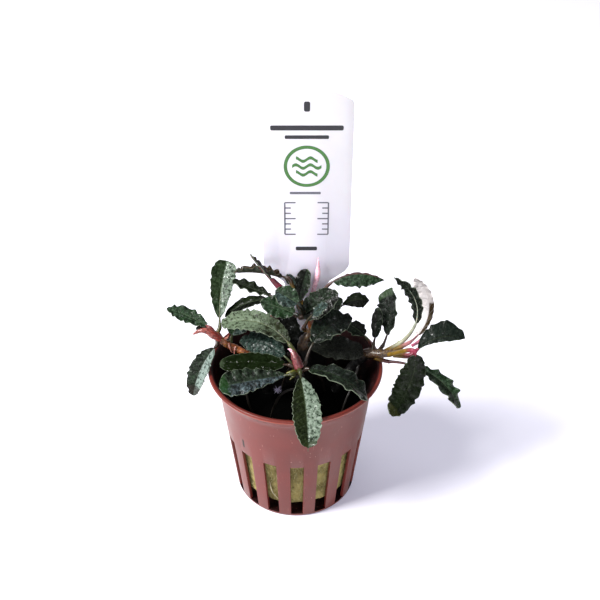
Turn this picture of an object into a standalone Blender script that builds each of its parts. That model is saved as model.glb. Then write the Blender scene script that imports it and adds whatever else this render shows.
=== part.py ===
# Bucephalandra in a net pot with rock wool and a plant label.
# Frame: +X is to the right of someone who reads the label, +Y points away from them, +Z is up.
# The origin is on the pot's axis, on the flat underside of its floor.
# Sizes in this file are in millimetres, and mm turns them into metres.

import math

import bmesh
import bpy
from mathutils import Vector

mm = 0.001
GAP = 0.3

# Pot: a 5 cm net pot with a flared lip
POT_HEIGHT = 48.0
LIP_RADIUS = 27.5
NECK_RADIUS = 24.4
NECK_HEIGHT = 42.0
FOOT_RADIUS = 19.5
FOOT_ROUND = 0.6
WALL = 1.0
FLOOR = 1.2
SLOT_COUNT = 16
SLOT_STEPS = 2
STEPS_PER_SLOT = 4
SLOT_BOTTOM = 1.2
SLOT_TOP = 24.6
SLOT_TURN = math.radians(1.5)
FLOOR_SLOT_COUNT = 8
FLOOR_SLOT_INNER = 8.0
FLOOR_SLOT_OUTER = 15.0
FLOOR_SLOT_WIDTH = 3.0

# Rock wool plug, held by the taper of the pot
WOOL_BOTTOM = 4.5
WOOL_TOP = 33.0
WOOL_STEPS = 32
WOOL_GAP = 0.5
WOOL_RIPPLE = 0.8

# Label: a flat plastic tag with an arched top and a narrow stake
LABEL_X = 3.4
LABEL_Y = 10.0
LABEL_THICKNESS = 0.5
LABEL_WIDTH = 26.1
LABEL_CROWN = 135.8
LABEL_CORNER = 132.0
LABEL_WIDE_BOTTOM = 78.0
LABEL_STAKE_TOP = 72.5
LABEL_STAKE_WIDTH = 13.2
LABEL_STAKE_BOTTOM = 16.0
LABEL_POINT = 4.0
ARCH_STEPS = 10

# Leaf section: thickness of the midrib, of the blade's edge and of the stalk
MIDRIB = 0.6
BLADE_EDGE = 0.25
STALK_WIDTH = 1.0
STALK_DEPTH = 0.8
BLADE_STATIONS = (0.0, 0.1, 0.24, 0.4, 0.56, 0.72, 0.86, 0.95, 1.0)

# Colours from the photograph, as linear values
POT_RED = (0.17, 0.045, 0.045)
WOOL_DARK = (0.05, 0.05, 0.02)
LABEL_WHITE = (0.80, 0.79, 0.88)
LEAF_GREEN = (0.025, 0.055, 0.030)
LEAF_SILVER = (0.20, 0.26, 0.22)
LEAF_BROWN = (0.07, 0.05, 0.035)
LEAF_WHITE = (0.60, 0.55, 0.55)
STEM_RED = (0.40, 0.07, 0.07)
STEM_PINK = (0.60, 0.20, 0.25)
STEM_BROWN = (0.25, 0.12, 0.04)

# Leaves. Each one follows a path that leaves its crown at a heading and a rise, in degrees,
# and reaches its tip at another pair. Heading 0 is +X and 90 is +Y; rise 90 is straight up.
# roll turns the blade about the path, fold lifts both halves from the midrib, and the stalk
# is the length before the blade starts.
LEAF_FIELDS = ("base", "leaves", "arrives", "length", "width", "roll", "stalk", "fold", "colour")
LEAVES = {
    # Left crown, over the left rim of the pot
    "leaf_left_up": ((-23.5, 4.5, 59.0), (95, 50), (70, 45), 21.0, 8.0, 0, 3.0, 20, LEAF_GREEN),
    "leaf_left_out": ((-26.5, 3.5, 59.5), (143, 11), (177, 16), 15.9, 5.6, -10, 1.5, 10, LEAF_GREEN),
    "leaf_left_down": ((-24.3, 0.3, 55.2), (213, -35), (253, -64), 18.2, 7.0, -20, 1.5, 20, LEAF_GREEN),
    "leaf_left_under": ((-26.0, 5.0, 56.0), (155, 25), (145, -20), 6.5, 3.5, 0, 1.0, 10, LEAF_BROWN),
    "leaf_left_small": ((-20.2, 4.0, 54.5), (80, 45), (30, -20), 9.5, 6.4, 0, 1.5, 0, LEAF_GREEN),
    # Front crown, in the middle of the pot
    "leaf_centre_blue": ((0.0, -9.8, 54.5), (140, 35), (150, -30), 23.5, 7.5, -30, 5.0, -10, LEAF_GREEN),
    "leaf_front_down": ((1.5, -16.0, 57.5), (285, -40), (270, -30), 24.0, 9.0, 0, 1.5, 20, LEAF_GREEN),
    "leaf_front_right": ((3.5, -13.0, 56.5), (330, 22), (11, -61), 25.0, 7.6, 0, 1.0, 10, LEAF_GREEN),
    "leaf_front_left": ((-1.5, -12.5, 57.5), (155, -10), (170, -15), 23.5, 6.8, -30, 2.0, -5, LEAF_GREEN),
    "leaf_front_left_low": ((-1.0, -15.0, 56.0), (181, -6), (195, -8), 21.9, 8.0, -30, 2.0, 10, LEAF_GREEN),
    "leaf_front_pale": ((-1.5, -8.7, 62.2), (128, 24), (180, -24), 26.8, 8.0, -10, 1.2, 8, LEAF_SILVER),
    "leaf_front_back_right": ((3.0, -10.5, 56.5), (65, 60), (30, -20), 25.5, 9.0, 0, 7.0, 5, LEAF_GREEN),
    # Right crown, on a stem that reaches over the right rim
    "leaf_right_inner": ((22.0, 0.0, 53.0), (205, 25), (185, 10), 20.0, 8.6, -25, 1.0, 5, LEAF_BROWN),
    "leaf_right_narrow": ((24.3, 1.5, 54.0), (69, 53), (86, 58), 12.0, 3.6, 0, 2.5, 10, LEAF_GREEN),
    "leaf_right_up": ((27.3, 2.4, 53.1), (32, 64), (105, 27), 19.5, 6.8, 0, 4.0, 10, LEAF_GREEN),
    "leaf_right_curl": ((32.3, 0.9, 55.2), (3, 42), (166, 26), 30.9, 5.4, 35, 9.0, 0, LEAF_GREEN),
    "leaf_right_white": ((35.4, 0.5, 56.0), (40, 8), (199, 42), 31.6, 5.6, 20, 4.0, 0, LEAF_WHITE),
    "leaf_right_out": ((35.9, -3.7, 54.4), (4, 60), (7, -25), 20.7, 7.4, 30, 3.0, 5, LEAF_GREEN),
    "leaf_right_down": ((36.0, -9.1, 60.1), (50, -72), (231, -2), 28.0, 9.0, 135, 2.0, -10, LEAF_GREEN),
    "leaf_right_down_out": ((29.1, -0.4, 49.2), (334, 19), (0, -73), 33.9, 5.0, 30, 11.0, 15, LEAF_GREEN),
    "leaf_right_back": ((24.5, 3.5, 51.5), (125, 40), (145, 0), 12.5, 6.0, 0, 5.0, 0, LEAF_GREEN),
    # Back crown, in front of the label
    "leaf_back_left_fore": ((1.0, 2.1, 65.2), (160, 20), (172, 8), 12.5, 7.0, -30, 1.5, 0, LEAF_GREEN),
    "leaf_back_left_dark": ((-7.0, 8.0, 67.0), (165, -5), (200, -40), 17.5, 5.0, -15, 2.0, 10, LEAF_BROWN),
    "leaf_back_left_mid": ((-6.0, 7.3, 68.4), (148, 1), (171, 19), 15.1, 5.0, 0, 2.0, 15, LEAF_BROWN),
    "leaf_back_left_brown": ((-2.0, 5.0, 77.0), (165, 15), (165, -20), 18.0, 5.0, 20, 2.0, 50, LEAF_BROWN),
    "leaf_back_left_edge": ((-3.0, 2.0, 74.0), (170, 46), (154, 48), 15.9, 3.6, 15, 6.0, 10, LEAF_BROWN),
    "leaf_back_up": ((0.8, 5.2, 66.5), (45, 78), (45, 65), 12.5, 5.5, 10, 2.0, 10, LEAF_GREEN),
    "leaf_back_right_up": ((1.6, -0.2, 66.2), (0, 45), (355, 32), 14.5, 8.4, 40, 0.8, 10, LEAF_GREEN),
    "leaf_back_right_low": ((2.6, -2.9, 64.4), (314, 71), (334, 37), 14.4, 4.2, 50, 7.0, 0, LEAF_SILVER),
    "leaf_back_right_far": ((6.0, 4.5, 66.5), (10, 79), (4, -34), 32.9, 7.0, 10, 11.0, -40, LEAF_GREEN),
    "leaf_back_right_dark": ((12.0, 7.0, 62.5), (25, 50), (10, -25), 14.0, 6.0, 15, 4.0, -10, LEAF_BROWN),
    "leaf_back_right_short": ((10.0, 5.0, 62.5), (40, 65), (45, 10), 8.0, 5.0, 0, 1.0, 0, LEAF_GREEN),
    "leaf_back_shade": ((-2.0, -1.3, 52.6), (100, 75), (98, 65), 13.0, 8.0, 0, 1.0, 0, LEAF_BROWN),
    "leaf_back_knob": ((0.0, 8.0, 71.2), (160, 60), (160, 60), 5.2, 3.0, -70, 0.8, 0, LEAF_SILVER),
    "leaf_back_silver": ((1.4, -2.2, 72.2), (165, 35), (165, 20), 8.5, 6.5, -45, 0.8, 5, LEAF_SILVER),
}

# Stems and pointed sheaths: points of the centre line, each with its radius
STEMS = {
    "rhizome_left": (STEM_BROWN, (
        ((-9.0, 1.5, 35.5), 1.7), ((-11.5, 1.0, 46.0), 1.7), ((-15.0, 1.0, 51.0), 1.6),
        ((-19.0, 2.0, 52.7), 1.5), ((-22.5, 2.2, 55.2), 1.5), ((-24.5, 2.7, 57.8), 1.2))),
    "rhizome_front": (STEM_BROWN, (
        ((1.5, -7.0, 35.0), 1.8), ((1.5, -10.5, 43.0), 1.8), ((1.5, -12.0, 50.0), 1.7),
        ((1.2, -12.3, 55.5), 1.4))),
    "rhizome_right": (STEM_BROWN, (
        ((13.0, 2.0, 35.5), 1.8), ((18.0, 1.5, 45.0), 1.8), ((22.5, 1.0, 51.0), 1.8),
        ((27.0, -0.8, 52.6), 1.7), ((31.0, -1.2, 53.4), 1.6), ((33.5, -1.2, 54.6), 1.3))),
    "rhizome_back": (STEM_BROWN, (
        ((4.0, 3.0, 35.5), 2.2), ((3.0, 2.5, 46.0), 2.2), ((2.8, 3.0, 55.0), 2.3),
        ((3.2, 3.8, 60.5), 2.2), ((3.2, 4.2, 64.5), 1.4))),
    "shoot_back_left": (STEM_BROWN, (
        ((0.6, 4.4, 62.5), 0.7), ((-2.0, 6.2, 65.0), 0.7), ((-4.8, 7.2, 67.0), 0.6))),
    "shoot_back_top": (STEM_BROWN, (
        ((2.0, 3.0, 66.8), 0.6), ((-0.2, 2.8, 71.0), 0.6), ((-1.3, 3.6, 74.6), 0.5))),
    "shoot_back_right": (STEM_BROWN, (
        ((5.8, 5.0, 57.5), 0.7), ((8.5, 5.8, 60.0), 0.7), ((10.8, 6.2, 61.2), 0.6))),
    "sheath_left": (STEM_RED, (
        ((-25.9, 2.0, 59.7), 0.5), ((-27.2, 2.0, 60.5), 0.7), ((-29.0, 1.9, 60.6), 0.6),
        ((-31.5, 1.4, 58.9), 0.3))),
    "sheath_front": (STEM_PINK, (
        ((1.0, -12.3, 57.6), 1.2), ((0.2, -11.2, 59.4), 1.3), ((-0.8, -9.5, 60.6), 1.0))),
    "sheath_right": (STEM_PINK, (
        ((36.0, -0.7, 55.5), 0.5), ((39.0, 0.4, 57.2), 0.6), ((41.0, 0.9, 59.8), 0.45),
        ((42.0, 1.0, 62.2), 0.25))),
    "sheath_back": (STEM_PINK, (
        ((4.6, 6.6, 66.0), 0.5), ((5.8, 7.6, 71.5), 0.8), ((6.8, 8.0, 76.0), 0.9),
        ((7.0, 8.5, 82.0), 0.2))),
}


def clear_scene():
    for item in list(bpy.data.objects):
        bpy.data.objects.remove(item, do_unlink=True)


def make_material(name, colour, roughness):
    material = bpy.data.materials.new(name)
    material.use_nodes = True
    shader = material.node_tree.nodes["Principled BSDF"]
    shader.inputs["Base Color"].default_value = (*colour, 1.0)
    shader.inputs["Roughness"].default_value = roughness
    shader.inputs["Metallic"].default_value = 0.0
    return material


def add_object(name, mesh, material, location=(0, 0, 0)):
    item = bpy.data.objects.new(name, mesh)
    item.location = Vector(location) * mm
    bpy.context.scene.collection.objects.link(item)
    if material:
        mesh.materials.append(material)
    return item


def mesh_from(name, bm, sharp_degrees=35.0):
    bmesh.ops.recalc_face_normals(bm, faces=bm.faces)
    mesh = bpy.data.meshes.new(name)
    bm.to_mesh(mesh)
    bm.free()
    mesh.shade_smooth()
    mesh.set_sharp_from_angle(angle=math.radians(sharp_degrees))
    return mesh


def make_guide(item):
    item.hide_render = True
    item.display_type = "WIRE"


def turned(profile, steps, start=0.0):
    """A closed solid turned about the Z axis from (radius, height) points, both ends on the axis."""
    bm = bmesh.new()
    rings = []
    for radius, height in profile:
        if radius == 0.0:
            rings.append([bm.verts.new((0.0, 0.0, height * mm))])
            continue
        ring = []
        for step in range(steps):
            angle = start + 2.0 * math.pi * step / steps
            x = radius * mm * math.cos(angle)
            y = radius * mm * math.sin(angle)
            ring.append(bm.verts.new((x, y, height * mm)))
        rings.append(ring)
    for lower, upper in zip(rings, rings[1:]):
        for step in range(steps):
            following = (step + 1) % steps
            corners = [lower[step % len(lower)], lower[following % len(lower)],
                       upper[following % len(upper)], upper[step % len(upper)]]
            corners = list(dict.fromkeys(corners))
            bm.faces.new(corners)
    return bm, rings


def wall_radius(height):
    return FOOT_RADIUS + (NECK_RADIUS - FOOT_RADIUS) * height / NECK_HEIGHT


def make_pot():
    steps = SLOT_COUNT * STEPS_PER_SLOT
    outside = [(0.0, 0.0), (FOOT_RADIUS - FOOT_ROUND, 0.0), (FOOT_RADIUS, FOOT_ROUND)]
    outside += [(wall_radius(height), height) for height in (SLOT_BOTTOM, SLOT_TOP, NECK_HEIGHT)]
    lip = [(NECK_RADIUS + 0.6, NECK_HEIGHT + 1.8), (LIP_RADIUS - 1.0, NECK_HEIGHT + 4.0),
           (LIP_RADIUS, NECK_HEIGHT + 5.2), (LIP_RADIUS - 0.3, POT_HEIGHT),
           (LIP_RADIUS - 1.3, POT_HEIGHT), (LIP_RADIUS - 2.2, POT_HEIGHT - 1.4),
           (NECK_RADIUS - 0.5, POT_HEIGHT - 4.2)]
    inside = [(wall_radius(height) - WALL, height) for height in (NECK_HEIGHT, SLOT_TOP, FLOOR)]
    profile = outside + lip + inside + [(0.0, FLOOR)]
    turn = math.radians(-90.0) + SLOT_TURN - math.pi * SLOT_STEPS / steps
    bm, rings = turned(profile, steps, turn)
    outer_low, outer_high = rings[3], rings[4]
    inner_high, inner_low = rings[-3], rings[-2]
    for slot in range(SLOT_COUNT):
        first = slot * STEPS_PER_SLOT
        columns = [(first + column) % steps for column in range(SLOT_STEPS + 1)]
        for low, high in ((outer_low, outer_high), (inner_low, inner_high)):
            for left, right in zip(columns, columns[1:]):
                corners = {low[left], low[right], high[left], high[right]}
                face = next(face for face in low[left].link_faces if set(face.verts) == corners)
                bm.faces.remove(face)
                shared = bm.edges.get((low[right], high[right]))
                if shared and not shared.link_faces:
                    bm.edges.remove(shared)
        back = list(reversed(columns))
        outer = [outer_low[column] for column in columns] + [outer_high[column] for column in back]
        inner = [inner_low[column] for column in columns] + [inner_high[column] for column in back]
        for here in range(len(outer)):
            there = (here + 1) % len(outer)
            bm.faces.new((outer[here], outer[there], inner[there], inner[here]))
    material = make_material("pot red plastic", POT_RED, 0.35)
    pot = add_object("pot", mesh_from("pot", bm), material)
    for slot in range(FLOOR_SLOT_COUNT):
        angle = 2.0 * math.pi * slot / FLOOR_SLOT_COUNT
        middle = 0.5 * (FLOOR_SLOT_INNER + FLOOR_SLOT_OUTER)
        size = (FLOOR_SLOT_OUTER - FLOOR_SLOT_INNER, FLOOR_SLOT_WIDTH, 4.0 * FLOOR)
        place = (middle * math.cos(angle), middle * math.sin(angle), 0.5 * FLOOR)
        cut_box(pot, "floor_slot_%d" % slot, size, place, angle)
    return pot


def cut_box(item, name, size, place, angle=0.0):
    bm = bmesh.new()
    bmesh.ops.create_cube(bm, size=1.0)
    bmesh.ops.scale(bm, vec=Vector(size) * mm, verts=bm.verts)
    cutter = add_object(name, mesh_from(name, bm), None, place)
    cutter.rotation_euler.z = angle
    make_guide(cutter)
    cut = item.modifiers.new(name, "BOOLEAN")
    cut.operation = "DIFFERENCE"
    cut.object = cutter


def make_wool():
    radii = (0.35, 0.7, 0.93)
    top = [(wall_radius(WOOL_TOP) - WALL - WOOL_GAP, WOOL_TOP - 1.2)]
    top += [(wall_radius(WOOL_TOP) * part, WOOL_TOP) for part in reversed(radii)]
    profile = [(0.0, WOOL_BOTTOM), (wall_radius(WOOL_BOTTOM) - WALL - WOOL_GAP, WOOL_BOTTOM)]
    profile += [(wall_radius(SLOT_TOP) - WALL - WOOL_GAP, SLOT_TOP)] + top + [(0.0, WOOL_TOP)]
    bm, rings = turned(profile, WOOL_STEPS)
    for ring in rings[4:7]:
        for step, vert in enumerate(ring):
            ripple = math.sin(step * 1.7) + math.sin(step * 0.9 + ring[0].co.x / mm)
            vert.co.z -= 0.5 * (1.0 + 0.5 * ripple) * WOOL_RIPPLE * mm
    wool = add_object("rock_wool", mesh_from("rock_wool", bm), make_material("rock wool", WOOL_DARK, 0.95))
    pocket = (LABEL_STAKE_WIDTH + 2.0 * GAP, LABEL_THICKNESS + 2.0 * GAP, WOOL_TOP - LABEL_STAKE_BOTTOM + 4.0)
    middle = LABEL_STAKE_BOTTOM - GAP + 0.5 * pocket[2]
    cut_box(wool, "stake_pocket", pocket, (LABEL_X, LABEL_Y, middle))
    return wool


def make_label():
    half = 0.5 * LABEL_WIDTH
    stake = 0.5 * LABEL_STAKE_WIDTH
    rise = LABEL_CROWN - LABEL_CORNER
    radius = (half * half + rise * rise) / (2.0 * rise)
    spread = math.asin(half / radius)
    outline = []
    for step in range(ARCH_STEPS + 1):
        angle = spread * (1.0 - 2.0 * step / ARCH_STEPS)
        outline.append((radius * math.sin(angle), LABEL_CROWN - radius + radius * math.cos(angle)))
    outline += [(-half, LABEL_WIDE_BOTTOM), (-half + 1.2, LABEL_WIDE_BOTTOM - 2.0),
                (-stake - 1.5, LABEL_STAKE_TOP + 1.0), (-stake, LABEL_STAKE_TOP - 1.0),
                (-stake, LABEL_STAKE_BOTTOM + LABEL_POINT), (-1.5, LABEL_STAKE_BOTTOM),
                (1.5, LABEL_STAKE_BOTTOM), (stake, LABEL_STAKE_BOTTOM + LABEL_POINT),
                (stake, LABEL_STAKE_TOP - 1.0), (stake + 1.5, LABEL_STAKE_TOP + 1.0),
                (half - 1.2, LABEL_WIDE_BOTTOM - 2.0), (half, LABEL_WIDE_BOTTOM)]
    bm = bmesh.new()
    verts = [bm.verts.new((x * mm, -0.5 * LABEL_THICKNESS * mm, z * mm)) for x, z in outline]
    face = bm.faces.new(verts)
    extruded = bmesh.ops.extrude_face_region(bm, geom=[face])
    moved = [item for item in extruded["geom"] if isinstance(item, bmesh.types.BMVert)]
    bmesh.ops.translate(bm, vec=(0, LABEL_THICKNESS * mm, 0), verts=moved)
    material = make_material("label plastic", LABEL_WHITE, 0.4)
    return add_object("plant_label", mesh_from("plant_label", bm), material, (LABEL_X, LABEL_Y, 0.0))


def direction(heading, rise):
    heading = math.radians(heading)
    rise = math.radians(rise)
    return Vector((math.cos(heading) * math.cos(rise), math.sin(heading) * math.cos(rise), math.sin(rise)))


def make_path(name, leaf):
    """The leaf's centre line: one Bezier span from the crown to the tip."""
    start = direction(*leaf["leaves"])
    end = direction(*leaf["arrives"])
    third = leaf["length"] * mm / 3.0
    near = start * third
    far = near + (start + end).normalized() * third
    tip = far + end * third
    curve = bpy.data.curves.new(name, "CURVE")
    curve.dimensions = "3D"
    curve.twist_mode = "MINIMUM"
    curve.resolution_u = 24
    curve.use_path = True
    spline = curve.splines.new("BEZIER")
    spline.bezier_points.add(1)
    shape = ((Vector(), -near, near), (tip, far, tip + end * third))
    for point, (place, before, after) in zip(spline.bezier_points, shape):
        point.handle_left_type = "FREE"
        point.handle_right_type = "FREE"
        point.co = place
        point.handle_left = before
        point.handle_right = after
        point.tilt = math.radians(leaf["roll"])
    item = add_object(name, curve, None, leaf["base"])
    make_guide(item)
    return item, spline.calc_length() / mm


def half_width(share, width):
    """Half the blade's width at a share of its length: a long oval with a blunt tip."""
    if share <= 0.0 or share >= 1.0:
        return 0.5 * STALK_WIDTH
    return max(0.5 * STALK_WIDTH, 0.5 * width * math.sin(math.pi * share ** 0.85) ** 0.45)


def make_leaf(name, leaf):
    path, length = make_path(name + "_path", leaf)
    stations = [0.0]
    if leaf["stalk"] > 3.5:
        stations.append(0.5 * leaf["stalk"])
    blade = length - leaf["stalk"]
    stations += [leaf["stalk"] + share * blade for share in BLADE_STATIONS]
    fold = math.radians(leaf["fold"])
    bm = bmesh.new()
    sections = []
    for place in stations:
        share = (place - leaf["stalk"]) / blade
        half = half_width(share, leaf["width"])
        spread = max(0.0, half - 0.5 * STALK_WIDTH) / (0.5 * leaf["width"])
        edge = 0.5 * (BLADE_EDGE if spread > 0.0 else 0.5 * STALK_DEPTH)
        thick = 0.5 * (MIDRIB if spread > 0.0 else STALK_DEPTH)
        across = half * math.cos(fold)
        lift = half * math.sin(fold) if spread > 0.0 else 0.0
        points = ((0.0, thick), (across, lift + edge), (across, lift - edge),
                  (0.0, -thick), (-across, lift - edge), (-across, lift + edge))
        sections.append([bm.verts.new((place * mm, y * mm, z * mm)) for y, z in points])
    for before, after in zip(sections, sections[1:]):
        for here in range(len(before)):
            there = (here + 1) % len(before)
            bm.faces.new((before[here], before[there], after[there], after[here]))
    for end in (sections[0], sections[-1]):
        bm.faces.new((end[0], end[1], end[2], end[3]))
        bm.faces.new((end[3], end[4], end[5], end[0]))
    material = make_material(name, leaf["colour"], 0.3)
    item = add_object(name, mesh_from(name, bm, 60.0), material, leaf["base"])
    bend = item.modifiers.new("bend", "CURVE")
    bend.object = path
    bend.deform_axis = "POS_X"
    return item


def make_stem(name, colour, points):
    curve = bpy.data.curves.new(name, "CURVE")
    curve.dimensions = "3D"
    curve.bevel_depth = mm
    curve.bevel_resolution = 2
    curve.resolution_u = 3
    curve.use_fill_caps = True
    spline = curve.splines.new("BEZIER")
    spline.bezier_points.add(len(points) - 1)
    for point, (place, radius) in zip(spline.bezier_points, points):
        point.co = Vector(place) * mm
        point.radius = radius
        point.handle_left_type = "AUTO"
        point.handle_right_type = "AUTO"
    material = make_material(name, colour, 0.4)
    return add_object(name, curve, material)


def main():
    clear_scene()
    make_pot()
    make_wool()
    make_label()
    for name, (colour, points) in STEMS.items():
        make_stem(name, colour, points)
    for name, row in LEAVES.items():
        make_leaf(name, dict(zip(LEAF_FIELDS, row)))


main()
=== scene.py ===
# Bucephalandra in a net pot: the finish of every surface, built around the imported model.
# Lengths are in millimetres, and mm turns them into metres. Angles are in degrees.

import math
import random

import bmesh
import bpy
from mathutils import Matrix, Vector, noise


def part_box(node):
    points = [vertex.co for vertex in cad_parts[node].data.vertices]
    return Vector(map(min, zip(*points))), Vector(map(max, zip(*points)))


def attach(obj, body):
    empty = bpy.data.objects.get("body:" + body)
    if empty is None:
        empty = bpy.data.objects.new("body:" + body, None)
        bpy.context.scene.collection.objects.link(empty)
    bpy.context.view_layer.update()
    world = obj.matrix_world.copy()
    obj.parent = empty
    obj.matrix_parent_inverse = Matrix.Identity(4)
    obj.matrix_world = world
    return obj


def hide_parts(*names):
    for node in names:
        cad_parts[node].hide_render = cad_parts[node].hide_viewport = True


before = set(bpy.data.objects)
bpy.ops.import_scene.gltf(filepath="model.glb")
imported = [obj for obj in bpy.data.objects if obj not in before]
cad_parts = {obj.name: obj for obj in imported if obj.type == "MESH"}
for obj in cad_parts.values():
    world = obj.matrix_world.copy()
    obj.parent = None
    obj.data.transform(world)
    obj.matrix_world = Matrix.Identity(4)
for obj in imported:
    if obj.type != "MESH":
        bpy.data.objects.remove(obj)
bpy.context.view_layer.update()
mm = 0.001
print("frame loaded:", len(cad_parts), "nodes")


# Selecting and finishing

def deselectAll():
    if bpy.context.mode != "OBJECT":
        bpy.ops.object.mode_set(mode="OBJECT")
    bpy.ops.object.select_all(action="DESELECT")


def makeActive(item):
    deselectAll()
    item.select_set(True)
    bpy.context.view_layer.objects.active = item


def startEdit(item):
    makeActive(item)
    bpy.ops.object.mode_set(mode="EDIT")
    bpy.ops.mesh.select_all(action="DESELECT")


def endEdit():
    bpy.ops.object.mode_set(mode="OBJECT")


def choose(item, kind, test):    # kind is VERT, EDGE or FACE; the test gets each one in turn
    bpy.ops.mesh.select_mode(type=kind)
    bpy.ops.mesh.select_all(action="DESELECT")
    bm = bmesh.from_edit_mesh(item.data)
    parts = {"VERT": bm.verts, "EDGE": bm.edges, "FACE": bm.faces}[kind]
    for part in parts:
        if test(part):
            part.select_set(True)
    bmesh.update_edit_mesh(item.data)


def middleOf(part):
    return sum((vert.co for vert in part.verts), Vector()) / len(part.verts)


def applyModifier(item, kind, **settings):
    modifier = item.modifiers.new(kind.lower(), kind)
    for key, value in settings.items():
        setattr(modifier, key, value)
    makeActive(item)
    bpy.ops.object.modifier_apply(modifier=modifier.name)


def roundEdges(item, width, segments=2, angle=50.0):
    applyModifier(item, "BEVEL", width=width * mm, segments=segments, limit_method="ANGLE",
                  angle_limit=math.radians(angle))


def smoothSurface(item, angle=40.0):
    makeActive(item)
    bpy.ops.object.shade_smooth_by_angle(angle=math.radians(angle))


def joinAll(items):
    makeActive(items[0])
    for item in items:
        item.select_set(True)
    bpy.ops.object.join()
    return bpy.context.object


def fixPlace(item):    # the object goes to the origin and its place into its mesh
    makeActive(item)
    bpy.ops.object.transform_apply(location=True, rotation=True, scale=True)


def finishPiece(item, name, slotName, *nodes):
    fixPlace(item)
    item.name = name
    item.data.name = name
    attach(item, "root")
    if nodes:
        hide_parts(*nodes)
    return item


def pieceName(node):    # leaf_left_up becomes leafLeftUp
    words = node.split("_")
    return words[0] + "".join(word.capitalize() for word in words[1:])


def cloudTexture(name, size, depth=2):
    texture = bpy.data.textures.new(name, "CLOUDS")
    texture.noise_scale = size * mm
    texture.noise_depth = depth
    return texture


# Colours and shader nodes

def colour(red, green, blue):    # from 0 to 255 as on a screen, to linear light
    def linear(value):
        share = value / 255.0
        return share / 12.92 if share <= 0.04045 else ((share + 0.055) / 1.055) ** 2.4
    return (linear(red), linear(green), linear(blue), 1.0)


def addNode(tree, kind, inputs=None, **settings):
    made = tree.nodes.new("ShaderNode" + kind)
    for key, value in settings.items():
        setattr(made, key, value)
    for key, value in (inputs or {}).items():
        if isinstance(value, bpy.types.NodeSocket):
            tree.links.new(value, made.inputs[key])
        else:
            made.inputs[key].default_value = value
    return made


def maths(tree, operation, first, second=0.0, third=0.0):
    made = addNode(tree, "Math", {0: first, 1: second, 2: third}, operation=operation)
    return made.outputs[0]


def ramp(tree, value, low, high, toLow=0.0, toHigh=1.0):
    inputs = {"Value": value, "From Min": low, "From Max": high, "To Min": toLow, "To Max": toHigh}
    return addNode(tree, "MapRange", inputs, interpolation_type="SMOOTHSTEP").outputs[0]


def blendColours(tree, factor, first, second, way="MIX"):
    made = addNode(tree, "Mix", {0: factor, 6: first, 7: second}, data_type="RGBA", blend_type=way)
    return made.outputs[2]


def ownPlace(tree):
    return addNode(tree, "TexCoord").outputs["Object"]


def noiseAt(tree, vector, scale, detail=3.0, roughness=0.55):
    inputs = {"Vector": vector, "Scale": scale, "Detail": detail, "Roughness": roughness}
    return addNode(tree, "TexNoise", inputs).outputs[0]


def newGroup(name, inputs, outputs):
    group = bpy.data.node_groups.new(name, "ShaderNodeTree")
    kinds = {"colour": "NodeSocketColor", "value": "NodeSocketFloat", "vector": "NodeSocketVector"}
    for label, kind in inputs:
        group.interface.new_socket(label, in_out="INPUT", socket_type=kinds[kind])
    for label, kind in outputs:
        group.interface.new_socket(label, in_out="OUTPUT", socket_type=kinds[kind])
    return group, group.nodes.new("NodeGroupInput").outputs, group.nodes.new("NodeGroupOutput").inputs


def useGroup(tree, group, inputs):
    made = tree.nodes.new("ShaderNodeGroup")
    made.node_tree = group
    for key, value in inputs.items():
        if isinstance(value, bpy.types.NodeSocket):
            tree.links.new(value, made.inputs[key])
        else:
            made.inputs[key].default_value = value
    return made.outputs


def newMaterial(name, **sockets):    # sockets are numbers set on the shader itself
    material = bpy.data.materials.new(name)
    material.use_nodes = True
    shader = material.node_tree.nodes["Principled BSDF"]
    for key, value in sockets.items():
        shader.inputs[key.replace("_", " ")].default_value = value
    return material, material.node_tree, shader.inputs


def bumpFrom(tree, height, distance, strength=1.0):
    inputs = {"Height": height, "Distance": distance * mm, "Strength": strength}
    return addNode(tree, "Bump", inputs).outputs[0]


def linkTo(tree, output, socket):
    tree.links.new(output, socket)


# Shared effects. Scales are patterns per metre, so 1000 gives features of about a millimetre.

def makeMottle():    # a colour that wanders between a darker and a lighter shade of itself
    group, given, out = newGroup(
        "mottle",
        [("Colour", "colour"), ("Scale", "value"), ("Darkest", "value"), ("Lightest", "value")],
        [("Colour", "colour"), ("Pattern", "value")])
    pattern = noiseAt(group, ownPlace(group), given["Scale"], 4.0, 0.6)
    shade = ramp(group, pattern, 0.3, 0.7, given["Darkest"], given["Lightest"])
    grey = addNode(group, "CombineColor", {0: shade, 1: shade, 2: shade}).outputs[0]
    linkTo(group, blendColours(group, 1.0, given["Colour"], grey, "MULTIPLY"), out["Colour"])
    linkTo(group, pattern, out["Pattern"])
    return group


def makeFlecks():    # scattered round spots, in patches
    group, given, out = newGroup(
        "flecks", [("Scale", "value"), ("Size", "value"), ("Patch Scale", "value")], [("Mask", "value")])
    place = ownPlace(group)
    spots = addNode(group, "TexVoronoi", {"Vector": place, "Scale": given["Scale"]})
    near = maths(group, "LESS_THAN", spots.outputs["Distance"], given["Size"])
    patch = ramp(group, noiseAt(group, place, given["Patch Scale"], 2.0), 0.42, 0.6)
    linkTo(group, maths(group, "MULTIPLY", near, patch), out["Mask"])
    return group


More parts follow.
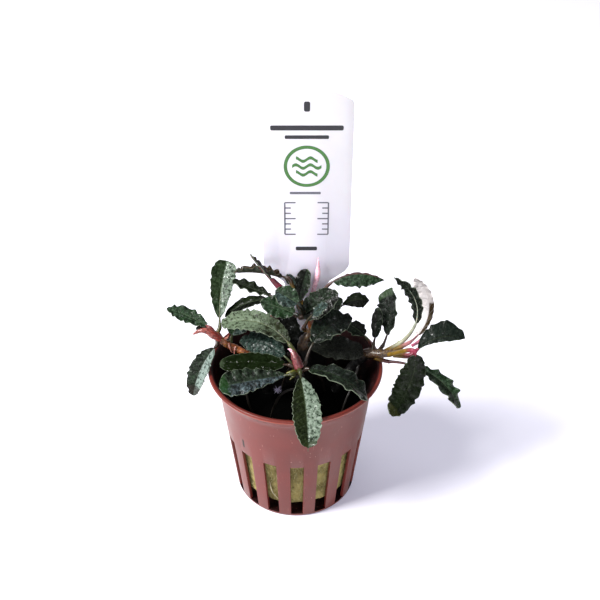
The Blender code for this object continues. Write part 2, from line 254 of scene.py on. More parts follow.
def makeFibres():    # two crossing layers of long thin strands
    group, given, out = newGroup(
        "fibres", [("Scale", "value"), ("Stretch", "value")], [("Pattern", "value")])
    place = ownPlace(group)
    layers = []
    for turn in ((0.35, 0.25, 0.0), (-0.5, 0.3, 0.8)):
        turned = addNode(group, "Mapping", {"Vector": place, "Rotation": turn}).outputs[0]
        squeezed = addNode(group, "CombineXYZ", {0: 1.0, 1: 1.0, 2: given["Stretch"]}).outputs[0]
        drawn = addNode(group, "VectorMath", {0: turned, 1: squeezed}, operation="MULTIPLY").outputs[0]
        layers.append(noiseAt(group, drawn, given["Scale"], 5.0, 0.7))
    linkTo(group, maths(group, "MAXIMUM", layers[0], layers[1]), out["Pattern"])
    return group


mottle = makeMottle()
flecks = makeFlecks()
fibres = makeFibres()


# Turned shells: a circle raised ring by ring along an outline of (radius, height) points

def turnedShell(name, outline, segments, turn=0.0):
    radius, height = outline[0]
    deselectAll()
    bpy.ops.mesh.primitive_circle_add(vertices=segments, radius=radius * mm, location=(0, 0, height * mm),
                                      rotation=(0, 0, math.radians(turn)))
    item = bpy.context.object
    item.name = name
    fixPlace(item)
    startEdit(item)
    bpy.ops.mesh.select_all(action="SELECT")
    bpy.ops.mesh.edge_face_add()
    bpy.ops.mesh.select_mode(type="EDGE")
    for wide, high in outline[1:]:
        bpy.ops.mesh.extrude_edges_move(TRANSFORM_OT_translate={"value": (0, 0, (high - height) * mm)})
        share = wide / radius
        bpy.ops.transform.resize(value=(share, share, 1), center_override=(0, 0, 0))
        radius, height = wide, high
    bpy.ops.mesh.edge_face_add()
    bpy.ops.mesh.select_all(action="SELECT")
    bpy.ops.mesh.normals_make_consistent(inside=False)
    endEdit()
    return item


def turnOf(point):    # the heading of a point round the pot's axis
    return math.degrees(math.atan2(point.y, point.x))


def apart(first, second):    # the smaller angle between two headings
    return abs((first - second + 180.0) % 360.0 - 180.0)


# Net pot

potLook = {
    "segments": 192, "footRadius": 19.5, "neckRadius": 24.4, "neckHeight": 42.0, "wall": 1.0, "floor": 1.2,
    "slots": 16, "slotSegments": 6, "slotTurn": -88.5, "slotBottom": 1.2, "slotTop": 24.6,
    "floorSlots": 8, "floorSlotRadius": 9.5, "floorSlotLength": 7.0, "floorSlotWidth": 3.0,
    "edgeRound": 0.16, "plastic": colour(101, 38, 34), "rim": colour(94, 35, 28), "scuff": colour(205, 150, 140),
    # The inner colour and the near-black colour after it are painted shade inside the pot.
    "inner": colour(30, 9, 10), "stain": colour(7, 4, 4), "nickShadeTurn": -134.8, "lipHighlight": colour(140, 62, 46),
}


def wallRadius(height):
    share = height / potLook["neckHeight"]
    return potLook["footRadius"] + (potLook["neckRadius"] - potLook["footRadius"]) * share


def potOutline():
    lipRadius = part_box("pot")[1].x / mm
    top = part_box("pot")[1].z / mm
    foot, neck, wall = potLook["footRadius"], potLook["neckRadius"], potLook["wall"]
    neckHeight, low, high = potLook["neckHeight"], potLook["slotBottom"], potLook["slotTop"]
    outside = [(foot - 0.6, 0.0), (foot - 0.25, 0.12), (foot, 0.5)]
    outside += [(wallRadius(height), height) for height in (low, high, 0.5 * (high + neckHeight), neckHeight)]
    lip = [(neck + 0.22, neckHeight + 1.0), (neck + 0.62, neckHeight + 2.0), (neck + 1.3, neckHeight + 3.1),
           (lipRadius - 1.0, top - 1.9), (lipRadius - 0.3, top - 1.2), (lipRadius, top - 0.7),
           (lipRadius - 0.05, top - 0.3), (lipRadius - 0.3, top), (lipRadius - 0.8, top + 0.0),
           (lipRadius - 1.3, top - 0.12), (lipRadius - 1.6, top - 0.45), (lipRadius - 2.1, top - 1.3),
           (neck + 0.3, top - 2.9), (neck - 0.4, top - 4.4)]
    inside = [(wallRadius(height) - wall, height) for height in (neckHeight, high, low + 0.3)]
    inside[-1] = (wallRadius(low) - wall, low + 0.01)
    return outside + lip + inside


def openSlots(item):
    low, high = potLook["slotBottom"] * mm, potLook["slotTop"] * mm
    pitch = 360.0 / potLook["slots"]
    reach = 0.5 * potLook["slotSegments"] * 360.0 / potLook["segments"]
    centres = [potLook["slotTurn"] + pitch * slot for slot in range(potLook["slots"])]

    def inSlot(face):
        middle = middleOf(face)
        upright = low < middle.z < high and max(vert.co.z for vert in face.verts) > high - 0.1 * mm
        return upright and any(apart(turnOf(middle), centre) < reach for centre in centres)

    startEdit(item)
    choose(item, "FACE", inSlot)
    bpy.ops.mesh.delete(type="FACE")
    for centre in centres:
        choose(item, "EDGE", lambda edge: edge.is_boundary and apart(turnOf(middleOf(edge)), centre) < reach + 0.1)
        bpy.ops.mesh.bridge_edge_loops()
    bpy.ops.mesh.select_all(action="SELECT")
    bpy.ops.mesh.normals_make_consistent(inside=False)
    endEdit()


def floorCutter():    # one box, set round the floor and joined into one cutter
    bars = []
    for step in range(potLook["floorSlots"]):
        angle = 2.0 * math.pi * step / potLook["floorSlots"]
        place = Vector((math.cos(angle), math.sin(angle), 0.0)) * potLook["floorSlotRadius"] * mm
        deselectAll()
        bpy.ops.mesh.primitive_cube_add(size=mm, location=place, rotation=(0, 0, angle),
                                        scale=(potLook["floorSlotLength"], potLook["floorSlotWidth"], 6.0))
        bars.append(bpy.context.object)
    return joinAll(bars)


def nickShadePlace():    # the foot of the painted shade of a short nick in the wall, on the camera's left; the nick is not cut
    angle = math.radians(potLook["nickShadeTurn"])
    radius = wallRadius(29.0) * mm
    return (radius * math.cos(angle), radius * math.sin(angle), 0.0)


def makePotPlastic():
    material, tree, shader = newMaterial("potPlastic", Specular_IOR_Level=0.2, Coat_Weight=0.32, Coat_Roughness=0.32,
                                         Subsurface_Weight=0.08, Subsurface_Scale=0.002)
    place = ownPlace(tree)
    height = addNode(tree, "SeparateXYZ", {0: place}).outputs[2]
    body = useGroup(tree, mottle, {"Colour": potLook["plastic"], "Scale": 90.0, "Darkest": 0.9, "Lightest": 1.1})
    rim = ramp(tree, height, 47.0 * mm, 47.9 * mm)
    tinted = blendColours(tree, rim, body["Colour"], potLook["rim"])
    flat = addNode(tree, "VectorMath", {0: place, 1: (1.0, 1.0, 0.0)}, operation="MULTIPLY").outputs[0]
    outward = addNode(tree, "VectorMath", {0: flat}, operation="NORMALIZE").outputs[0]
    normal = addNode(tree, "NewGeometry").outputs["Normal"]
    facing = addNode(tree, "VectorMath", {0: normal, 1: outward}, operation="DOT_PRODUCT").outputs["Value"]
    # The inner face of the wall is painted darker: painted shade inside the pot, the inner colour below the lip and
    # near black deeper down.
    inside = ramp(tree, facing, -0.1, -0.5)
    tinted = blendColours(tree, maths(tree, "MULTIPLY", inside, ramp(tree, height, 49.0 * mm, 47.6 * mm)),
                          tinted, potLook["inner"])
    tinted = blendColours(tree, maths(tree, "MULTIPLY", inside, ramp(tree, height, 45.5 * mm, 41.0 * mm)),
                          tinted, potLook["stain"])
    # Upward faces near the bottom, the floor inside the pot, take the inner colour: painted shade under the wool.
    upward = addNode(tree, "SeparateXYZ", {0: normal}).outputs[2]
    base = maths(tree, "MULTIPLY", ramp(tree, upward, 0.3, 0.6), ramp(tree, height, 2.0 * mm, 1.5 * mm))
    tinted = blendColours(tree, base, tinted, potLook["inner"])
    # A short dark mark on the wall is painted shade of a nick that is not cut; the coat is taken off there too.
    nickShade = addNode(tree, "VectorMath", {0: flat, 1: nickShadePlace()}, operation="DISTANCE").outputs["Value"]
    nickShade = maths(tree, "MULTIPLY", ramp(tree, nickShade, 0.5 * mm, 0.3 * mm), ramp(tree, height, 27.2 * mm, 27.8 * mm))
    nickShade = maths(tree, "MULTIPLY", nickShade, ramp(tree, height, 31.4 * mm, 30.6 * mm))
    tinted = blendColours(tree, nickShade, tinted, potLook["stain"])
    # A thin lighter orange line round the outside of the lip: a painted highlight.
    line = maths(tree, "MULTIPLY", ramp(tree, height, 46.6 * mm, 46.9 * mm), ramp(tree, height, 47.6 * mm, 47.3 * mm))
    line = maths(tree, "MULTIPLY", line, ramp(tree, facing, 0.0, 0.3))
    tinted = blendColours(tree, line, tinted, potLook["lipHighlight"])
    scratch = addNode(tree, "Mapping", {"Vector": place, "Scale": (1.0, 1.0, 0.06)}).outputs[0]
    lines = ramp(tree, noiseAt(tree, scratch, 2400.0, 2.0), 0.66, 0.8)
    dust = useGroup(tree, flecks, {"Scale": 420.0, "Size": 0.07, "Patch Scale": 60.0})["Mask"]
    wear = maths(tree, "MAXIMUM", maths(tree, "MULTIPLY", lines, 0.25), maths(tree, "MULTIPLY", dust, 0.5))
    linkTo(tree, blendColours(tree, wear, tinted, potLook["scuff"]), shader["Base Color"])
    linkTo(tree, ramp(tree, body["Pattern"], 0.3, 0.7, 0.34, 0.46), shader["Roughness"])
    linkTo(tree, maths(tree, "MULTIPLY_ADD", maths(tree, "MAXIMUM", nickShade, inside), -0.3, 0.32), shader["Coat Weight"])
    linkTo(tree, bumpFrom(tree, noiseAt(tree, place, 700.0, 4.0), 0.04, 0.6), shader["Normal"])
    return material


def buildPot():
    turn = potLook["slotTurn"] - 90.0 + 0.5 * potLook["slotSegments"] * 360.0 / potLook["segments"]
    pot = turnedShell("netPot", potOutline(), potLook["segments"], turn)
    openSlots(pot)
    cutter = floorCutter()
    applyModifier(pot, "BOOLEAN", operation="DIFFERENCE", object=cutter, solver="EXACT")
    bpy.data.objects.remove(cutter)
    roundEdges(pot, potLook["edgeRound"])
    smoothSurface(pot, 35.0)
    pot.data.materials.append(makePotPlastic())
    finishPiece(pot, "netPot", "pot_plastic", "pot")
    print("net pot:", len(pot.data.polygons), "faces")


# Rock wool plug

woolLook = {
    "segments": 128, "bottom": 4.5, "top": 33.0, "gap": 0.25, "rows": 26, "topRings": 9,
    "lump": 3.2, "lumpDepth": 0.9, "strand": 0.7, "strandDepth": 0.35,
    "straw": colour(130, 119, 77), "pale": colour(190, 182, 136), "shade": colour(64, 54, 32),
    # The wet colour darkens the top of the plug: partly wet dark matter, partly painted shade inside the pot.
    "wet": colour(2, 2, 2),
}


def woolOutline():
    low, high, gap = woolLook["bottom"], woolLook["top"], woolLook["gap"] + potLook["wall"]
    outline = [(share * (wallRadius(low) - gap), low) for share in (0.5, 0.8, 0.95)]
    for row in range(woolLook["rows"] + 1):
        height = low + 0.4 + (high - low - 1.4) * row / woolLook["rows"]
        outline.append((wallRadius(height) - gap, height))
    edge = wallRadius(high) - gap
    for ring in range(woolLook["topRings"]):
        share = 1.0 - (ring + 0.4) / woolLook["topRings"]
        outline.append((edge * share, high - 0.6 * (1.0 - share) ** 2))
    return outline


def makeWoolMaterial():
    material, tree, shader = newMaterial("rockWool", Roughness=0.95, Specular_IOR_Level=0.03)
    height = addNode(tree, "SeparateXYZ", {0: ownPlace(tree)}).outputs[2]
    strands = useGroup(tree, fibres, {"Scale": 1500.0, "Stretch": 0.18})["Pattern"]
    body = useGroup(tree, mottle, {"Colour": woolLook["straw"], "Scale": 120.0, "Darkest": 0.5, "Lightest": 1.5})
    tone = blendColours(tree, ramp(tree, strands, 0.55, 0.8), body["Colour"], woolLook["pale"])
    tone = blendColours(tree, ramp(tree, strands, 0.5, 0.35), tone, woolLook["shade"])
    # The top of the plug is darkened to near black: partly wet dark matter, partly painted shade inside the pot.
    stain = maths(tree, "ADD", height, maths(tree, "MULTIPLY", body["Pattern"], 6.0 * mm))
    tone = blendColours(tree, ramp(tree, stain, 26.5 * mm, 31.0 * mm), tone, woolLook["wet"])
    linkTo(tree, tone, shader["Base Color"])
    linkTo(tree, bumpFrom(tree, strands, 0.35), shader["Normal"])
    return material


def buildWool():
    wool = turnedShell("rockWool", woolOutline(), woolLook["segments"])
    for name, size, depth in (("lumps", "lump", "lumpDepth"), ("strands", "strand", "strandDepth")):
        applyModifier(wool, "DISPLACE", texture=cloudTexture(name, woolLook[size]), texture_coords="LOCAL",
                      strength=woolLook[depth] * mm, mid_level=0.95)
    smoothSurface(wool, 180.0)
    wool.data.materials.append(makeWoolMaterial())
    finishPiece(wool, "rockWool", "wool", "rock_wool")
    print("rock wool:", len(wool.data.polygons), "faces")


# Strands: round curves through points with a radius at each, made into one mesh

def strandMesh(name, strands, sides=8, steps=6):
    curve = bpy.data.curves.new(name, "CURVE")
    curve.dimensions = "3D"
    curve.bevel_depth = mm
    curve.bevel_resolution = max(0, sides // 2 - 2)
    curve.resolution_u = steps
    curve.use_fill_caps = True
    for points in strands:
        spline = curve.splines.new("BEZIER")
        spline.bezier_points.add(len(points) - 1)
        for point, (place, radius) in zip(spline.bezier_points, points):
            point.co = Vector(place) * mm
            point.radius = radius
            point.handle_left_type = "AUTO"
            point.handle_right_type = "AUTO"
    item = bpy.data.objects.new(name, curve)
    bpy.context.scene.collection.objects.link(item)
    makeActive(item)
    bpy.ops.object.convert(target="MESH")
    return bpy.context.object


# Fibres of the wool that stand out at the slots, and fine pale roots among them

fibreLook = {"count": 170, "thickness": 0.05, "seed": 11, "colour": colour(160, 153, 112)}
rootLook = {
    "seed": 5, "dark": colour(22, 16, 11), "pale": colour(170, 160, 132),
    "slotRoots": ((-110.9, 14.0, 6.5), (91.0, 8.0, 20.0), (158.0, 18.0, 7.0)),
}


def onWool(turn, height, proud=0.0):
    radius = wallRadius(height) - potLook["wall"] - woolLook["gap"] + proud
    angle = math.radians(turn)
    return Vector((radius * math.cos(angle), radius * math.sin(angle), height))


def buildFibres():
    chance = random.Random(fibreLook["seed"])
    pitch = 360.0 / potLook["slots"]
    strands = []
    for index in range(fibreLook["count"]):
        turn = potLook["slotTurn"] + pitch * (index % potLook["slots"]) + chance.uniform(-4.5, 4.5)
        height = chance.uniform(6.5, 23.0)
        drift = chance.uniform(-3.0, 3.0)
        rise = chance.uniform(-3.0, 3.0)
        middle = onWool(turn + 0.5 * drift, height + 0.5 * rise, chance.uniform(0.1, 0.4))
        ends = onWool(turn, height, -0.5), onWool(turn + drift, height + rise, -0.5)
        radius = fibreLook["thickness"]
        strands.append(((ends[0], radius), (middle, radius), (ends[1], radius)))
    item = strandMesh("woolFibres", strands, 4, 3)
    material, tree, shader = newMaterial("woolFibre", Roughness=0.6)
    tint = useGroup(tree, mottle, {"Colour": fibreLook["colour"], "Scale": 500.0, "Darkest": 0.6, "Lightest": 1.1})
    linkTo(tree, tint["Colour"], shader["Base Color"])
    item.data.materials.append(material)
    finishPiece(item, "woolFibres", "wool")
    print("wool fibres:", len(item.data.polygons), "faces")


# Stems and sheaths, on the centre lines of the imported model: points, each with its radius

stems = {
    "rhizome_left": ("redBark", (
        ((-9.0, 1.5, 35.5), 1.6), ((-11.5, 1.0, 46.0), 1.4), ((-15.0, 1.0, 51.0), 1.1),
        ((-19.0, 2.0, 52.7), 1.1), ((-22.5, 2.2, 55.2), 1.2), ((-24.5, 2.7, 57.8), 0.9))),
    "rhizome_front": ("bark", (
        ((1.5, -7.0, 35.0), 1.8), ((1.5, -10.5, 43.0), 1.8), ((1.5, -12.0, 50.0), 1.7),
        ((1.2, -12.3, 55.5), 1.4))),
    "rhizome_right": ("bark", (
        ((13.0, 2.0, 35.5), 1.8), ((18.0, 1.5, 45.0), 1.8), ((22.5, 1.0, 51.0), 1.8),
        ((27.0, -0.8, 52.6), 1.4), ((31.0, -1.2, 53.4), 1.0), ((33.5, -1.2, 54.6), 0.4))),
    "rhizome_back": ("bark", (
        ((4.0, 3.0, 35.5), 2.2), ((3.0, 2.5, 46.0), 2.2), ((2.8, 3.0, 54.0), 2.1),
        ((4.9, 3.8, 58.5), 1.1), ((4.9, 4.0, 61.5), 1.3), ((3.6, 4.2, 64.5), 1.1))),
    "shoot_back_left": ("shoot", (
        ((0.6, 4.4, 62.5), 0.7), ((-2.0, 6.2, 65.0), 0.7), ((-4.8, 7.2, 67.0), 0.6))),
    "shoot_back_top": ("shoot", (
        ((2.0, 3.0, 66.8), 0.6), ((-0.2, 2.8, 71.0), 0.6), ((-1.3, 3.6, 74.6), 0.5))),
    "shoot_back_right": ("shoot", (
        ((5.8, 5.0, 57.5), 0.7), ((8.5, 5.8, 60.0), 0.7), ((10.8, 6.2, 61.2), 0.6))),
    "sheath_left": ("redSheath", (
        ((-23.4, 1.8, 56.4), 1.2), ((-25.6, 1.5, 58.4), 1.3), ((-27.6, 1.4, 59.9), 0.95),
        ((-29.6, 1.3, 59.8), 0.65), ((-31.5, 1.3, 58.6), 0.3))),
    "sheath_front": ("roseSheath", (
        ((1.2, -12.5, 56.6), 1.6), ((0.2, -11.4, 59.2), 1.4), ((-0.9, -9.9, 61.0), 0.7))),
    "sheath_right": ("pinkSheath", (
        ((36.0, -0.7, 55.5), 0.5), ((39.0, 0.4, 57.2), 0.6), ((41.0, 0.9, 59.8), 0.45),
        ((42.0, 1.0, 62.2), 0.25))),
    "sheath_back": ("paleSheath", (
        ((4.6, 6.6, 66.0), 0.5), ((5.8, 7.6, 71.5), 0.8), ((6.8, 8.0, 76.0), 0.9),
        ((7.0, 8.5, 82.0), 0.2))),
}
tatters = {    # torn bits of old leaves on a stem: the tone and the strands
    "rhizome_left": ("oldSheath", (
        (((-20.8, 1.6, 54.8), 0.4), ((-20.3, 0.7, 53.8), 0.4), ((-19.7, 0.2, 52.3), 0.15)),
        (((-18.6, 1.5, 53.6), 0.35), ((-18.9, 0.6, 52.8), 0.35), ((-19.0, 0.0, 51.8), 0.12)),
        (((-22.3, 2.2, 56.0), 0.4), ((-21.2, 1.6, 56.9), 0.35), ((-20.6, 1.4, 58.0), 0.12)))),
    "rhizome_front": ("moss", (
        (((0.4, -12.2, 55.0), 0.5), ((-0.9, -13.0, 55.4), 0.5), ((-2.6, -13.4, 55.0), 0.25)),
        (((0.8, -12.6, 54.6), 0.5), ((-0.4, -13.8, 54.4), 0.45), ((-1.6, -14.6, 53.6), 0.2)))),
    "sheath_front": ("paleSheath", (
        (((-0.7, -10.4, 60.6), 0.55), ((-1.5, -10.1, 61.5), 0.4), ((-2.2, -10.3, 61.8), 0.12)),)),
}
stemLook = {
    "barkRelief": 0.7, "barkGrain": 1.1, "stemShade": colour(5, 4, 4), "bud": colour(120, 58, 16),
    "buddedFrom": {"rhizome_back": 60.0},
    # Heights up to which each rhizome is painted near black: painted shade in the pot and under the leaves.
    "stemShadeTo": {"rhizome_left": 47.0, "rhizome_front": 55.5, "rhizome_right": 51.5, "rhizome_back": 53.0},
    "tones": {
        "bark": (colour(66, 42, 20), colour(100, 76, 32), colour(24, 15, 9)),
        "redBark": (colour(112, 56, 20), colour(138, 92, 34), colour(52, 26, 10)),
        "shoot": (colour(74, 40, 30), colour(94, 62, 38), colour(38, 20, 16)),
        "redSheath": (colour(124, 44, 34), colour(150, 96, 88), colour(70, 22, 18)),
        "roseSheath": (colour(88, 28, 34), colour(132, 76, 76), colour(48, 16, 20)),
        "paleSheath": (colour(226, 178, 194), colour(238, 212, 220), colour(204, 140, 160)),
        "moss": (colour(96, 98, 30), colour(134, 130, 60), colour(60, 56, 18)),
        "oldSheath": (colour(126, 74, 62), colour(160, 112, 96), colour(74, 40, 26)),
        "pinkSheath": (colour(150, 66, 94), colour(200, 130, 150), colour(96, 38, 56)),
    },
}


def makeStemMaterial(name, stemShadeTo, budded):    # painted shade, near black, up to a height; orange from another height on
    main, light, dark = stemLook["tones"][name]
    soft = name.endswith("Sheath")
    material, tree, shader = newMaterial(name, Coat_Weight=0.35, Coat_Roughness=0.2,
                                         Subsurface_Weight=0.3 if soft else 0.05, Subsurface_Scale=0.001)
    place = ownPlace(tree)
    body = useGroup(tree, mottle, {"Colour": main, "Scale": 420.0, "Darkest": 0.7, "Lightest": 1.3})
    grain = noiseAt(tree, place, 1500.0, 4.0)
    tone = blendColours(tree, ramp(tree, grain, 0.52, 0.68), body["Colour"], light)
    tone = blendColours(tree, ramp(tree, grain, 0.46, 0.34), tone, dark)
    height = addNode(tree, "SeparateXYZ", {0: place}).outputs[2]
    if budded:
        tone = blendColours(tree, ramp(tree, height, (budded - 1.0) * mm, (budded + 0.6) * mm, 0.0, 0.8), tone,
                            stemLook["bud"])
    # Below its height the stem is painted near black: painted shade.
    stemShade = ramp(tree, height, (stemShadeTo + 1.5) * mm, (stemShadeTo - 1.5) * mm)
    linkTo(tree, blendColours(tree, stemShade, tone, stemLook["stemShade"]), shader["Base Color"])
    linkTo(tree, ramp(tree, grain, 0.3, 0.7, 0.55, 0.3), shader["Roughness"])
    linkTo(tree, bumpFrom(tree, grain, 0.12 if soft else 0.3), shader["Normal"])
    return material


def buildStems():
    materials = {}
    for node, (tone, points) in stems.items():
        stemShadeTo = stemLook["stemShadeTo"].get(node, 0.0)
        if stemShadeTo or tone not in materials:
            materials[tone] = makeStemMaterial(tone, stemShadeTo, stemLook["buddedFrom"].get(node, 0.0))
        item = strandMesh(node, [points], 16, 12)
        relief = stemLook["barkRelief"] if stemShadeTo else 0.25
        applyModifier(item, "DISPLACE", texture=cloudTexture(node, stemLook["barkGrain"]),
                      texture_coords="LOCAL", strength=relief * mm, mid_level=0.55)
        smoothSurface(item, 180.0)
        item.data.materials.clear()
        item.data.materials.append(materials[tone])
        if node in tatters:
            tornTone, strands = tatters[node]
            torn = strandMesh(node + "Torn", strands, 8, 6)
            torn.data.materials.clear()
            torn.data.materials.append(makeStemMaterial(tornTone, 0.0, 0.0))
            item = joinAll([item, torn])
        finishPiece(item, pieceName(node), "sheath" if tone.endswith("Sheath") else "stem", node)
    print("stems:", len(stems))


# Leaves. Each follows a path that leaves its crown at a heading and a rise and reaches its tip
# at another pair. Heading 0 is +X and 90 is +Y; rise 90 is straight up. roll turns the blade
# about the path, fold lifts both halves from the midrib, stalk is the length before the blade.

leafFields = ("base", "leaves", "arrives", "length", "width", "roll", "stalk", "fold")
leafPaths = {
    "leaf_left_up": ((-23.5, 4.5, 59.0), (95, 50), (70, 45), 21.0, 8.0, 0, 3.0, 20),
    "leaf_left_out": ((-26.5, 3.5, 59.5), (143, 11), (177, 16), 15.9, 5.6, -10, 1.5, 10),
    "leaf_left_down": ((-24.3, 0.3, 55.2), (213, -35), (253, -64), 18.2, 7.0, -20, 1.5, 20),
    "leaf_left_under": ((-26.0, 5.0, 56.0), (155, 25), (145, -20), 6.5, 3.5, 0, 1.0, 10),
    "leaf_left_small": ((-20.2, 4.0, 54.5), (80, 45), (30, -20), 9.5, 6.4, 0, 1.5, 0),
    "leaf_centre_blue": ((0.0, -9.8, 54.5), (140, 35), (150, -30), 23.5, 7.5, -30, 5.0, -10),
    "leaf_front_down": ((1.5, -16.0, 57.5), (285, -40), (270, -30), 24.0, 9.0, 0, 1.5, 20),
    "leaf_front_right": ((3.5, -13.0, 56.5), (330, 22), (11, -61), 25.0, 7.6, 0, 1.0, 10),
    "leaf_front_left": ((-1.5, -12.5, 57.5), (155, -10), (170, -15), 23.5, 6.8, -30, 2.0, -5),
    "leaf_front_left_low": ((-1.0, -15.0, 56.0), (181, -6), (195, -8), 21.9, 8.0, -30, 2.0, 10),
    "leaf_front_pale": ((-1.5, -8.7, 62.2), (128, 24), (180, -24), 26.8, 8.0, -10, 1.2, 8),
    "leaf_front_back_right": ((3.0, -10.5, 56.5), (65, 60), (30, -20), 25.5, 9.0, 0, 7.0, 5),
    "leaf_right_inner": ((22.0, 0.0, 53.0), (205, 25), (185, 10), 20.0, 8.6, -25, 1.0, 5),
    "leaf_right_narrow": ((24.3, 1.5, 54.0), (69, 53), (86, 58), 12.0, 3.6, 0, 2.5, 10),
    "leaf_right_up": ((27.3, 2.4, 53.1), (32, 64), (105, 27), 19.5, 6.8, 0, 4.0, 10),
    "leaf_right_curl": ((32.3, 0.9, 55.2), (3, 42), (166, 26), 30.9, 5.4, 35, 9.0, 0),
    "leaf_right_white": ((35.4, 0.5, 56.0), (40, 8), (199, 42), 31.6, 5.6, 20, 4.0, 0),
    "leaf_right_out": ((35.9, -3.7, 54.4), (4, 60), (7, -25), 20.7, 7.4, 30, 3.0, 5),
    "leaf_right_down": ((36.0, -9.1, 60.1), (50, -72), (231, -2), 28.0, 9.0, 135, 2.0, -10),
    "leaf_right_down_out": ((29.1, -0.4, 49.2), (334, 19), (0, -73), 33.9, 5.0, 30, 11.0, 15),
    "leaf_right_back": ((24.5, 3.5, 51.5), (125, 40), (145, 0), 12.5, 6.0, 0, 5.0, 0),
    "leaf_back_left_fore": ((1.0, 2.1, 65.2), (160, 20), (172, 8), 12.5, 7.0, -30, 1.5, 0),
    "leaf_back_left_dark": ((-7.0, 8.0, 67.0), (165, -5), (200, -40), 17.5, 5.0, -15, 2.0, 10),
    "leaf_back_left_mid": ((-6.0, 7.3, 68.4), (148, 1), (171, 19), 15.1, 5.0, 0, 2.0, 15),
    "leaf_back_left_brown": ((-2.0, 5.0, 77.0), (165, 15), (165, -20), 18.0, 5.0, 20, 2.0, 50),
    "leaf_back_left_edge": ((-3.0, 2.0, 74.0), (170, 46), (154, 48), 15.9, 3.6, 15, 6.0, 10),
    "leaf_back_up": ((0.8, 5.2, 66.5), (45, 78), (45, 65), 12.5, 5.5, 10, 2.0, 10),
    "leaf_back_right_up": ((1.6, -0.2, 66.2), (0, 45), (355, 32), 14.5, 8.4, 40, 0.8, 10),
    "leaf_back_right_low": ((2.6, -2.9, 64.4), (314, 71), (334, 37), 14.4, 4.2, 50, 7.0, 0),
    "leaf_back_right_far": ((6.0, 4.5, 66.5), (10, 79), (4, -34), 32.9, 7.0, 10, 11.0, -40),
    "leaf_back_right_dark": ((12.0, 7.0, 62.5), (25, 50), (10, -25), 14.0, 6.0, 15, 4.0, -10),
    "leaf_back_right_short": ((10.0, 5.0, 62.5), (40, 65), (45, 10), 8.0, 5.0, 0, 1.0, 0),
    "leaf_back_shade": ((-2.0, -1.3, 52.6), (100, 75), (98, 65), 13.0, 8.0, 0, 1.0, 0),
    "leaf_back_knob": ((0.0, 8.0, 71.2), (160, 60), (160, 60), 5.2, 3.0, -70, 0.8, 0),
    "leaf_back_silver": ((1.4, -2.2, 72.2), (165, 35), (165, 20), 8.5, 6.5, -45, 0.8, 5),
}

